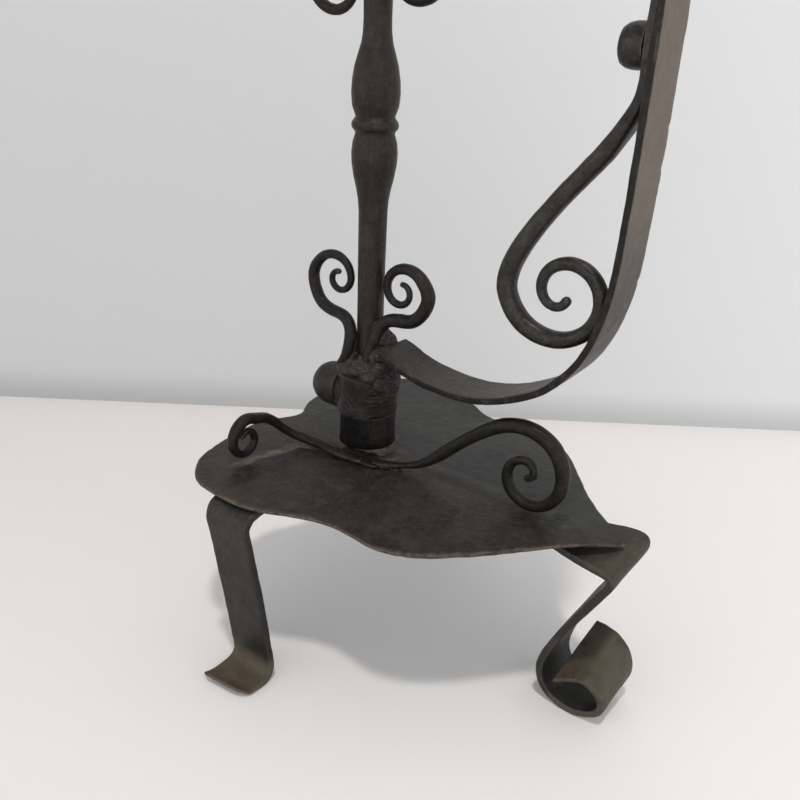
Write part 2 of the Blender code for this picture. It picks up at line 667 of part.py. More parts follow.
# --------------------------------------------------- arm, brace and its rivet
ARM_W = 30.0
ARM_T = 4.0
ARM_UPRIGHT_X = 156.4          # mid-thickness of the upright part
ARM_PATH = (                   # mid-thickness, out from the axis and height
    (16.2, 184.2), (22, 182.6), (31, 178.9), (42, 175.5), (55.5, 173.3),
    (68, 172.5), (80, 172.9), (90, 174.8), (102, 178.6), (113, 183.6),
    (124.5, 190.4), (133, 198.4), (141, 208.6), (147.2, 221), (151.8, 236.8),
    (154.3, 252), (155.4, 270), (156.0, 290), (ARM_UPRIGHT_X, 320),
    (ARM_UPRIGHT_X, 352), (156.2, 378), (153.2, 401), (144, 422), (128, 437),
    (108, 445), (84, 448), (50, 448.6), (17.8, 448.6),
)
BRACE_FLAT_X = 151.7           # flat upper end, against the arm
BRACE_LEAD = (                 # x and height
    (BRACE_FLAT_X, 384), (BRACE_FLAT_X, 366), (BRACE_FLAT_X, 348),
    (BRACE_FLAT_X - 0.4, 336.5), (146.8, 326.0), (134.8, 308.0),
    (119.6, 289.9), (105.2, 270.8), (95.5, 254.5),
)
BRACE_VOLUTE = dict(centre=(120.5, 238.5), start=180.0, turn=1, end=5.75,
                    radii=(28.9, 23.5, 24.2, 16.0, 8.3, 6.2, 6.2))
BRACE_BAR = (                  # share of length, half thickness, half width
    (0, 1.4, 5.0), (0.11, 2.2, 9.6), (0.16, 2.5, 8.0), (0.25, 4.7, 5.0),
    (0.38, 4.9, 4.9), (0.46, 5.4, 5.4), (0.60, 5.3, 5.3), (0.70, 4.3, 4.3),
    (0.81, 3.9, 3.9), (0.91, 3.2, 3.2), (0.97, 2.5, 2.6), (1.0, 2.8, 2.9),
)
BRACE_PAD = (0.02, 0.11)       # shares of length between which the pad is even
BRACE_PAD_HALF_W = 9.0

BRACE_RIVET_Z = 354.6
BRACE_RIVET_R = 9.9            # radius of the head
BRACE_SHANK_R = 3.5
BRACE_RIVET_TIP = 136.0        # x of the head's tip, on the stem side
BRACE_RIVET_SEAT = BRACE_FLAT_X - 2.5 - GAP
ARM_OUTER_X = ARM_UPRIGHT_X + ARM_T / 2
BRACE_HOLE_X = (140, 170)
BRACE_RIVET_PROFILE = (        # x and radius
    (BRACE_RIVET_TIP, 0.0), (BRACE_RIVET_TIP + 0.3, 4.0),
    (BRACE_RIVET_TIP + 1.6, 8.0), (BRACE_RIVET_TIP + 4.0, BRACE_RIVET_R - 0.5),
    (BRACE_RIVET_TIP + 6.6, BRACE_RIVET_R), (BRACE_RIVET_SEAT, BRACE_RIVET_R),
    (BRACE_RIVET_SEAT, BRACE_SHANK_R), (ARM_OUTER_X + 0.2, BRACE_SHANK_R),
    (ARM_OUTER_X + 0.5, 3.1), (ARM_OUTER_X + 0.6, 0.0),
)
TO_PLUS_X = np.array([[0.0, 0.0, 1.0], [0.0, 1.0, 0.0], [-1.0, 0.0, 0.0]])


def add_arm(swivel):
    line = spline(ARM_PATH, 58)
    shape = strip(upright(line, -ARM_W / 2), upright(line, ARM_W / 2), ARM_T)
    return add("arm", shape, ARM_IRON, parent=swivel)


def add_brace(swivel):
    path = upright(spline(np.concatenate([BRACE_LEAD, volute(**BRACE_VOLUTE)]), 56), 0.0)
    run = run_along(path)
    run /= run[-1]
    thick, wide = half_sizes(run, BRACE_BAR)
    wide = np.where((run > BRACE_PAD[0]) & (run < BRACE_PAD[1]), BRACE_PAD_HALF_W, wide)
    shape = bar(path, (0.0, 1.0, 0.0), thick, wide, sides=10)
    return add("brace_scroll", shape, BLACK_IRON, parent=swivel)


def add_brace_rivet(swivel, arm, brace):
    shape = moved(turned(BRACE_RIVET_PROFILE, 24), TO_PLUS_X, (0.0, 0.0, BRACE_RIVET_Z))
    add("brace_rivet", shape, BLACK_IRON, parent=swivel)
    start, end = BRACE_HOLE_X
    tool = add_cutter("hole_brace", BRACE_SHANK_R + GAP, (start, 0, BRACE_RIVET_Z),
                      (end, 0, BRACE_RIVET_Z), steps=20, parent=swivel)
    cut(arm, tool)
    cut(brace, tool)


# ------------------------------------------------------------- weld deposits
WELD_FOOT = HUB_Z[1] + GAP
# name, low corner, high corner, slope of the top along X, phase of the lumps
WELDS = (
    ("arm_weld", (9.0, -10.5, WELD_FOOT), (21.5, 10.5, 179.4), -0.35, 0.4),
    ("scroll_weld", (-8.6, -18.6, WELD_FOOT), (-3.4, -10.2, 172.5), 0.0, 1.3),
)
WELD_ROUNDING = 0.32
WELD_ROUGHNESS = 0.05


def add_weld(name, low_corner, high_corner, top_slope, phase, parent):
    """A rounded rough block between two corners."""
    low_corner, high_corner = np.array(low_corner), np.array(high_corner)
    middle, half = (low_corner + high_corner) / 2, (high_corner - low_corner) / 2
    work = bmesh.new()
    bmesh.ops.create_cube(work, size=2.0)
    bmesh.ops.subdivide_edges(work, edges=work.edges[:], cuts=3, use_grid_fill=True)
    verts = []
    for v in work.verts:
        p = np.array(v.co)
        p = p * (1 - WELD_ROUNDING * (np.roll(p, 1) ** 2 + np.roll(p, 2) ** 2) / 2)
        p *= 1 - WELD_ROUGHNESS * (1 + math.sin(7 * p[0] + 5 * p[1] + phase)
                                   * math.cos(6 * p[2] + 3 * p[1]))
        placed = middle + p * half
        placed[2] += top_slope * (placed[0] - middle[0]) * max(0.0, p[2])
        verts.append(placed)
    work.verts.index_update()
    faces = [[v.index for v in f.verts] for f in work.faces]
    work.free()
    add(name, (verts, faces), WELD_IRON, sharp=60, parent=parent)


# ------------------------------------------------------------------- assembly
def build_base():
    plate = add_base_plate()
    front = add_front_leg()
    left, right = add_side_legs()
    add_leg_rivet("rivet_front", plate, front, FRONT_RIVET_X, 0.0, FRONT_RIVET_DROP)
    add_leg_rivet("rivet_left", plate, left, -SIDE_RIVET_BACK, -SIDE_RIVET_Y)
    add_leg_rivet("rivet_right", plate, right, -SIDE_RIVET_BACK, SIDE_RIVET_Y)
    add_pivot_block()
    add_block_fillet()
    add_front_scroll()
    add_side_scroll()


def build_swivelling_part():
    swivel = add_axis("swivel_axis")
    clamp = add_axis("clamp_axis", KNOB_Z, swivel)
    add_hub(swivel)
    add_clamp(clamp)
    add_stem(swivel)
    add_collar_and_finial(swivel)
    for level in ("lower", "upper"):
        for side, shape in STEM_SCROLLS.items():
            add_stem_scroll(level, side, swivel, **shape)
    arm = add_arm(swivel)
    brace = add_brace(swivel)
    add_brace_rivet(swivel, arm, brace)
    for weld in WELDS:
        add_weld(*weld, parent=swivel)


def centre_footprint():
    """Move everything so the middle of the footprint is the origin."""
    bpy.context.view_layer.update()
    graph = bpy.context.evaluated_depsgraph_get()
    corners = []
    for obj in bpy.context.scene.objects:
        if obj.type == "MESH" and not obj.hide_render:
            solid = obj.evaluated_get(graph)
            corners += [obj.matrix_world @ v.co for v in solid.data.vertices]
    middle = [(min(c[k] for c in corners) + max(c[k] for c in corners)) / 2
              for k in (0, 1)]
    shift = Vector((-round(middle[0], 4), -round(middle[1], 4), 0.0))
    for obj in bpy.context.scene.objects:
        if obj.parent is None:
            obj.location += shift
    bpy.context.view_layer.update()


build_base()
build_swivelling_part()
centre_footprint()
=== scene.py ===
"""Looks for a forged iron tripod stand: a base plate on three legs, a swivelling
hub and stem, a flat arm, and scrolls. Every piece is a fine mesh with hammer marks,
worn edges or rough welds, and a procedural iron finish.
Working units are millimetres, +Z up, with the stem's axis on Z; the front leg and
the arm point to +X, the left leg to -Y and the right leg to +Y. ORIGIN moves the
working points into the row frame."""
import json
import math
from itertools import product

import bmesh
import bpy
import numpy as np
from mathutils import Matrix, Vector


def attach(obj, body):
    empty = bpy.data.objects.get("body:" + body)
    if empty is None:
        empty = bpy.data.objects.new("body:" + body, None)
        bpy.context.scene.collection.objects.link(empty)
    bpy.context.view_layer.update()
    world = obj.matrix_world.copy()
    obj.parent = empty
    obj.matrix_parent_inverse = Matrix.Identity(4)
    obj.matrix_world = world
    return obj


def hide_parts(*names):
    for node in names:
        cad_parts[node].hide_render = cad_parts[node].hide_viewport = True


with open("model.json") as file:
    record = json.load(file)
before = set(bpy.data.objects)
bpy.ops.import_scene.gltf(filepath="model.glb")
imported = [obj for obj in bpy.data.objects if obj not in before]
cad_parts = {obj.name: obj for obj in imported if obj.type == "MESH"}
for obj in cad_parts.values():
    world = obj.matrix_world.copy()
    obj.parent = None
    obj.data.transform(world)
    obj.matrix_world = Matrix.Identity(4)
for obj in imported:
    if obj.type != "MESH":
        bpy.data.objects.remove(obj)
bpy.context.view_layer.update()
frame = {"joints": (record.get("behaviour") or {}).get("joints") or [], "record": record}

BODY_OF = {node: body for body, nodes in frame["record"]["behaviour"]["bodies"].items()
           for node in nodes}
STEM_JOINT = next(j for j in frame["joints"] if j["name"] == "stem_swivel")
ORIGIN = np.array([STEM_JOINT["pos_m"][0] * 1000.0, 0.0, 0.0])

# Driving dimensions, shared by several pieces
GAP = 0.3                           # clearance between neighbouring pieces
PLATE_TOP = 115.0
PLATE_THICK = 3.0
LEG_THICK = 5.0
LEG_MID_Z = PLATE_TOP - PLATE_THICK - GAP - LEG_THICK / 2     # middle of a leg's flat top
HUB_R = 18.5
HUB_LOW, HUB_TOP = 139.4, 165.5
KNOB_Z, KNOB_R, KNOB_TIP = 148.0, 14.3, 43.0    # KNOB_TIP is its reach from the axis
BLOCK_R, BLOCK_TOP = 18.0, 139.0
COLLAR_LOW, COLLAR_TOP, COLLAR_R = 435.5, 461.0, 17.0


def count(full):
    """A segment count, as given."""
    return full


# ------------------------------------------------------------------- noise
def lattice(cells, seed):
    """A repeatable value from 0 to 1 for each row of integer coordinates."""
    i, j, k = cells.T.astype(np.uint64)
    with np.errstate(over="ignore"):
        n = (i * np.uint64(0x9E3779B97F4A7C15) ^ j * np.uint64(0xC2B2AE3D27D4EB4F)
             ^ k * np.uint64(0x165667B19E3779F9) ^ np.uint64(seed * 7919 + 101))
        for shift, factor in ((29, 0xBF58476D1CE4E5B9), (32, 0x94D049BB133111EB)):
            n ^= n >> np.uint64(shift)
            n *= np.uint64(factor)
        n ^= n >> np.uint64(31)
    return (n >> np.uint64(40)).astype(float) / float(1 << 24)


def noise(points, size, seed):
    """Smooth value noise from -1 to 1 with features of about size mm."""
    scaled = points / size + 137.31
    base = np.floor(scaled)
    f = scaled - base
    f = f * f * f * (f * (f * 6 - 15) + 10)
    cells = base.astype(np.int64)
    total = np.zeros(len(f))
    for corner in product((0, 1), repeat=3):
        weight = np.prod(np.where(corner, f, 1 - f), axis=1)
        total += weight * lattice(cells + np.array(corner), seed)
    return total * 2 - 1


def fbm(points, size, seed):
    """Three octaves of noise, each half the size and strength of the last."""
    return sum(noise(points, size / 2 ** o, seed + 31 * o) / 2 ** o
               for o in range(3)) / 1.75


def hammer(points, cell, seed):
    """Overlapping shallow bowls, as a hammer leaves them: 0 at a bowl's bottom
    rising to about 1 on the ridges between bowls."""
    jitter, soft = 0.8, 0.10
    scaled = points / cell + 53.7
    base = np.floor(scaled).astype(np.int64)
    best = np.full(len(scaled), 9.0)
    second = best.copy()
    for corner in product((-1, 0, 1), repeat=3):
        cells = base + np.array(corner)
        random = np.stack([lattice(cells, seed + axis) for axis in range(3)], 1)
        centre = cells + 0.5 + jitter * (random - 0.5)
        distance = ((scaled - centre) ** 2).sum(1) - 0.25 * lattice(cells, seed + 3)
        second = np.minimum(second, np.maximum(best, distance))
        best = np.minimum(best, distance)
    h = np.clip(0.5 + 0.5 * (second - best) / soft, 0, 1)
    low = second * (1 - h) + best * h - soft * h * (1 - h)
    return np.clip(low + 0.1, 0.0, 1.2)


def dents(points, depth, cell, seed, level=0.55):
    """Hammer marks of a depth in mm, about a neutral level."""
    return depth * (hammer(points, cell, seed) - level)


def blisters(points, height, seed):
    """Small burst bubbles of overheated weld."""
    return (height * (0.85 - 1.25 * hammer(points, cell=1.8, seed=seed))
            + 0.22 * noise(points, size=1.7, seed=seed + 9))


def smooth(low, high, x):
    """Smooth step from 0 at low to 1 at high; low may be the larger."""
    t = np.clip((x - low) / (high - low), 0, 1)
    return t * t * (3 - 2 * t)


def bell(offset, width):
    return np.exp(-(offset / width) ** 2)


def off_axis(points):
    return np.hypot(points[:, 0], points[:, 1])


def bearing_of(points):
    """Degrees about Z from +X, -180 to 180."""
    return np.degrees(np.arctan2(points[:, 1], points[:, 0]))


# ------------------------------------------------------------------ curves
def unit(vectors):
    return vectors / np.linalg.norm(vectors, axis=1)[:, None]


def run_length(points):
    """Distance along a path at each of its points."""
    steps = np.linalg.norm(np.diff(points, axis=0), axis=1)
    return np.concatenate([[0.0], np.cumsum(steps)])


def natural(knots, values, at):
    """Natural cubic spline of values over knots, evaluated at at."""
    values = np.asarray(values, float)
    flat = values.ndim == 1
    if flat:
        values = values[:, None]
    n = len(knots)
    h = np.diff(knots)
    system = np.eye(n)
    target = np.zeros_like(values)
    for i in range(1, n - 1):
        system[i, i - 1:i + 2] = h[i - 1], 2 * (h[i - 1] + h[i]), h[i]
        target[i] = 6 * ((values[i + 1] - values[i]) / h[i]
                         - (values[i] - values[i - 1]) / h[i - 1])
    curve = np.linalg.solve(system, target)
    k = np.clip(np.searchsorted(knots, at, side="right") - 1, 0, n - 2)
    a = ((knots[k + 1] - at) / h[k])[:, None]
    b = 1 - a
    out = (a * values[k] + b * values[k + 1]
           + ((a ** 3 - a) * curve[k] + (b ** 3 - b) * curve[k + 1])
           * (h[k] ** 2)[:, None] / 6)
    return out[:, 0] if flat else out


def spline(points, samples):
    """Evenly spaced samples of the natural cubic spline through points."""
    points = np.asarray(points, float)
    chord = np.linalg.norm(np.diff(points, axis=0), axis=1)
    knots = np.concatenate([[0.0], np.cumsum(chord ** 0.75)])
    dense = natural(knots, points, np.linspace(0, knots[-1], 60 * len(points)))
    run = run_length(dense)
    want = np.linspace(0, run[-1], samples)
    return np.stack([np.interp(want, run, column) for column in dense.T], axis=1)


def knot_spline(points, samples):
    """Spline sampled evenly by knot, so two paths keep their stations paired."""
    knots = np.arange(len(points), dtype=float)
    return natural(knots, points, np.linspace(0, knots[-1], samples))


def volute(centre, start, turn, radii, end=None):
    """A spiral from the angle start in degrees, turning by turn (1 or -1);
    radii are given each quarter turn, and end is its last quarter."""
    quarters = np.arange(len(radii), dtype=float)
    q = np.arange(0, (end or len(radii) - 1) + 1e-6, 0.25)
    r = natural(quarters, radii, q)
    a = np.radians(start + turn * 90.0 * q)
    return np.stack([centre[0] + r * np.cos(a), centre[1] + r * np.sin(a)], 1)


def upright(points, y):
    """(x, z) points set in the plane at y."""
    return np.insert(np.asarray(points, float), 1, y, axis=1)


# ------------------------------------------------------------- mesh builders
# Each gives a surface: an array of points and a list of faces.
def skin(rings, closed=False):
    """Quads over equal rings; closed joins the last ring to the first, otherwise
    each end gets a fan to a middle point."""
    rings = np.asarray(rings, float)
    s, k, _ = rings.shape
    points = rings.reshape(-1, 3)
    row = np.arange(s if closed else s - 1)[:, None]
    here, there = row * k, (row + 1) % s * k
    j = np.arange(k)[None, :]
    after = (j + 1) % k
    quads = np.stack([here + j, here + after, there + after, there + j], -1)
    faces = [tuple(f) for f in quads.reshape(-1, 4).tolist()]
    if not closed:
        first, last, row = s * k, s * k + 1, (s - 1) * k
        faces += [(first, (m + 1) % k, m) for m in range(k)]
        faces += [(last, row + m, row + (m + 1) % k) for m in range(k)]
        points = np.concatenate([points, [rings[0].mean(0), rings[-1].mean(0)]])
    return points, faces


def rod(path, across, half_n, half_a, sides, squareness):
    """A forged rod with rounded ends. half_a is its half size toward across and
    half_n the other one; squareness above 2 flattens its sides."""
    tangent = unit(np.gradient(path, axis=0))
    across = np.broadcast_to(np.asarray(across, float), path.shape)
    across = unit(across - (across * tangent).sum(1)[:, None] * tangent)
    normal = np.cross(across, tangent)
    angle = 2 * math.pi * (np.arange(sides) + 0.5) / sides
    c, s = np.cos(angle), np.sin(angle)
    power = 2.0 / np.broadcast_to(squareness, len(path))

    def ring(i, shrink=1.0, push=0.0):
        u = np.sign(c) * np.abs(c) ** power[i] * half_n[i] * shrink
        v = np.sign(s) * np.abs(s) ** power[i] * half_a[i] * shrink
        return (path[i] + tangent[i] * push + np.outer(u, normal[i])
                + np.outer(v, across[i]))

    def cap(i, way):
        size = min(half_n[i], half_a[i])
        return [ring(i, max(math.cos(a), 0.06), way * size * math.sin(a))
                for a in np.radians(np.linspace(90, 0, 7)[:-1])]

    return skin(cap(0, -1) + [ring(i) for i in range(len(path))] + cap(-1, 1)[::-1])


def bar_outline(across, through, corner):
    """Rounded bar section from the steps on its wide sides, thin sides and
    corners: signs of the flat part and directions of the corner radius, as
    columns sign u, direction u, sign v, direction v."""
    rows = []
    signs = ((1, 1), (-1, 1), (-1, -1), (1, -1))
    for q, (x, y) in enumerate(signs):
        for m in range(corner + 1):
            a = math.radians(90.0 * q + 90.0 * m / corner)
            rows.append((x, math.cos(a), y, math.sin(a)))
        next_x, next_y = signs[(q + 1) % 4]
        wide = q % 2 == 0
        steps = across if wide else through
        for m in range(1, steps):
            t = m / steps
            rows.append((x + (next_x - x) * t, 0.0 if wide else x,
                         y + (next_y - y) * t, y if wide else 0.0))
    return np.array(rows, float).T


def flat_bar(near, far, half_thick, radius, steps, end_radius):
    """A flat bar between two edge paths, section corners and ends rounded."""
    sign_u, dir_u, sign_v, dir_v = bar_outline(*steps)
    middle = (near + far) / 2
    cross = far - near
    width = np.linalg.norm(cross, axis=1)
    cross = unit(cross)
    tangent = unit(np.gradient(middle, axis=0))
    normal = unit(np.cross(cross, tangent))
    half_thick = np.broadcast_to(half_thick, len(near))
    radius = np.broadcast_to(radius, len(near))

    def ring(i, inset=0.0, push=0.0):
        r = radius[i]
        u = sign_u * (width[i] / 2 - r) + dir_u * (r - inset)
        v = sign_v * (half_thick[i] - r) + dir_v * (r - inset)
        return (middle[i] + tangent[i] * push + np.outer(u, cross[i])
                + np.outer(v, normal[i]))

    def end(i, way):
        return [ring(i, min(end_radius, radius[i]) * (1 - math.cos(a)),
                     way * end_radius * (1 - math.sin(a)))
                for a in np.radians(np.linspace(90, 0, 5))]

    def clear_of_ends(i):
        return 5 < i < len(near) - 6 or all(
            np.linalg.norm(middle[i] - middle[e]) > end_radius * 1.3 for e in (0, -1))

    body = [ring(i) for i in range(len(near)) if clear_of_ends(i)]
    return skin(end(0, 1) + body + end(-1, -1)[::-1])


def lathe(profile, sides, step, round_off, closed=False):
    """A solid turned about Z from (height, radius) pairs, corners eased. A closed
    profile makes a ring; an open one has its ends on the axis."""
    def segments(points):
        return list(zip(points, np.roll(points, -1, axis=0)))[:None if closed else -1]

    points = np.asarray(profile, float)
    for _ in range(2):                      # ease each corner
        eased = []
        for a, b in segments(points):
            gap = np.linalg.norm(b - a)
            cut = min(0.25, round_off / max(gap, 1e-6) * 0.5)
            eased += [a + (b - a) * cut, b - (b - a) * cut]
        points = np.array(eased if closed else [points[0], *eased, points[-1]])
    dense = []
    for a, b in segments(points):
        n = max(1, int(np.linalg.norm(b - a) / step))
        dense += [a + (b - a) * m / n for m in range(n)]
    if not closed:
        dense.append(points[-1])
    angle = 2 * math.pi * np.arange(sides) / sides
    rings = [np.stack([r * np.cos(angle), r * np.sin(angle), np.full(sides, z)], 1)
             for z, r in dense if closed or r > 0.05]
    return skin(rings, closed)


def lay_down(surface, direction, height):
    """Turns a surface's Z axis to direction (1 or -1) along X, at a height."""
    points, faces = surface
    x, y, z = points.T
    return np.stack([direction * z, y, height - direction * x], 1), faces


# ------------------------------------------------------------------- pieces
def new_object(name, data):
    obj = bpy.data.objects.new(name, data)
    bpy.context.scene.collection.objects.link(obj)
    return obj


def mesh_of(name, surface):
    points, faces = surface
    mesh = bpy.data.meshes.new(name)
    mesh.from_pydata(points.tolist(), [], faces)
    work = bmesh.new()
    work.from_mesh(mesh)
    bmesh.ops.recalc_face_normals(work, faces=work.faces)
    work.to_mesh(mesh)
    work.free()
    return mesh


def normals_of(mesh):
    mesh.update()
    values = np.empty(len(mesh.vertices) * 3, np.float32)
    mesh.vertices.foreach_get("normal", values)
    return values.reshape(-1, 3).astype(float)


def set_points(mesh, points):
    mesh.vertices.foreach_set("co", points.astype(np.float32).ravel())


def bend_of(mesh, points, normals):
    """How far each point stands out from its neighbours, eased twice."""
    edges = np.empty(len(mesh.edges) * 2, np.int32)
    mesh.edges.foreach_get("vertices", edges)
    first, second = edges.reshape(-1, 2).T

    def gather(ends, weights):
        return np.bincount(ends, weights=weights, minlength=len(points))

    degree = np.maximum(np.bincount(edges, minlength=len(points)), 1)
    span = points[first] - points[second]
    squared = np.maximum((span * span).sum(1), 0.04)
    bend = (gather(first, (span * normals[first]).sum(1) / squared * 2)
            + gather(second, (-span * normals[second]).sum(1) / squared * 2)) / degree
    for _ in range(2):
        around = (gather(first, bend[second]) + gather(second, bend[first])) / degree
        bend = 0.5 * bend + 0.5 * around
    return bend


def piece(node, surface, finish, relief, worn=(0.16, 0.75), name=None, **masks):
    """Makes the piece that replaces node, from a surface or a ready mesh.
    relief(points, normals) raises it by mm along the normals, or moves it by
    vectors. worn is the bend where rubbing starts and is full. The masks are
    functions like relief, kept as attributes beside worn and hollow."""
    name = name or node + "_forged"
    if isinstance(surface, tuple):
        mesh = mesh_of(name, surface)
    else:
        mesh = surface
        mesh.name = name
    values = np.empty(len(mesh.vertices) * 3, np.float32)
    mesh.vertices.foreach_get("co", values)
    points = values.reshape(-1, 3).astype(float)
    normals = normals_of(mesh)
    lift = relief(points, normals)
    points = points + (normals * lift[:, None] if lift.ndim == 1 else lift)
    set_points(mesh, points)
    normals = normals_of(mesh)
    bend = bend_of(mesh, points, normals)
    layers = {"worn": smooth(*worn, bend), "hollow": smooth(0.05, 0.45, -bend)}
    for key, mask in masks.items():
        layers[key] = np.clip(mask(points, normals), 0, 1)
    for key, value in layers.items():
        attribute = mesh.attributes.new(key, "FLOAT", "POINT")
        attribute.data.foreach_set("value", value.astype(np.float32))
    set_points(mesh, (points + ORIGIN) * 0.001)
    mesh.update()
    mesh.shade_smooth()
    mesh.materials.append(finish)
    obj = new_object(name, mesh)
    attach(obj, BODY_OF[node])
    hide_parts(node)


def planished(depth, cell, seed, grit, grit_size, where, squash=1.0):
    """A relief of hammer marks and fine grit, faded by where(points); squash
    scales the height of the points the marks are read at."""
    def relief(points, normals):
        marks = dents(points * (1, 1, squash), depth=depth, cell=cell, seed=seed)
        return (marks + grit * fbm(points, grit_size, seed + 2)) * where(points)
    return relief


# ----------------------------------------------------------------- materials
class Graph:
    """Adds nodes to a tree. A value is a number, a tuple or an output socket."""

    def __init__(self, tree):
        self.tree = tree

    def add(self, kind, inputs, **settings):
        node = self.tree.nodes.new("ShaderNode" + kind)
        for key, value in settings.items():
            setattr(node, key, value)
        for key, value in inputs.items():
            if isinstance(value, bpy.types.NodeSocket):
                self.tree.links.new(value, node.inputs[key])
            else:
                node.inputs[key].default_value = value
        return node

    def cloud(self, vector, size, detail, roughness, distortion=0.0):
        inputs = {"Scale": 1.0 / size, "Detail": detail, "Roughness": roughness,
                  "Distortion": distortion, "Vector": vector}
        return self.add("TexNoise", inputs).outputs["Fac"]

    def maths(self, operation, a, b, clamp=False):
        return self.add("Math", {0: a, 1: b}, operation=operation,
                        use_clamp=clamp).outputs[0]

    def times(self, a, b):
        return self.maths("MULTIPLY", a, b)

    def plus(self, a, b):
        return self.maths("ADD", a, b)

    def minus(self, a, b, clamp=False):
        return self.maths("SUBTRACT", a, b, clamp)

    def ramp(self, value, low, high, start=0.0, end=1.0, kind="SMOOTHSTEP"):
        inputs = {"Value": value, "From Min": low, "From Max": high,
                  "To Min": start, "To Max": end}
        return self.add("MapRange", inputs, interpolation_type=kind).outputs["Result"]

    def mix(self, factor, a, b):
        a, b = ((*c, 1.0) if isinstance(c, tuple) else c for c in (a, b))
        return self.add("Mix", {0: factor, 6: a, 7: b}, data_type="RGBA").outputs[2]

    def attribute(self, key):
        return self.add("Attribute", {}, attribute_name=key).outputs["Fac"]


def new_material(name):
    material = bpy.data.materials.new(name)
    material.use_nodes = True
    tree = material.node_tree
    return material, Graph(tree), tree.nodes["Principled BSDF"]


THIN_RUST = (0.062, 0.034, 0.020)
ORANGE_RUST = (0.16, 0.075, 0.036)
PALE_GRAIN = (0.115, 0.100, 0.086)
SOOT = (0.014, 0.011, 0.010)
BARE_STREAK = (0.20, 0.18, 0.16)


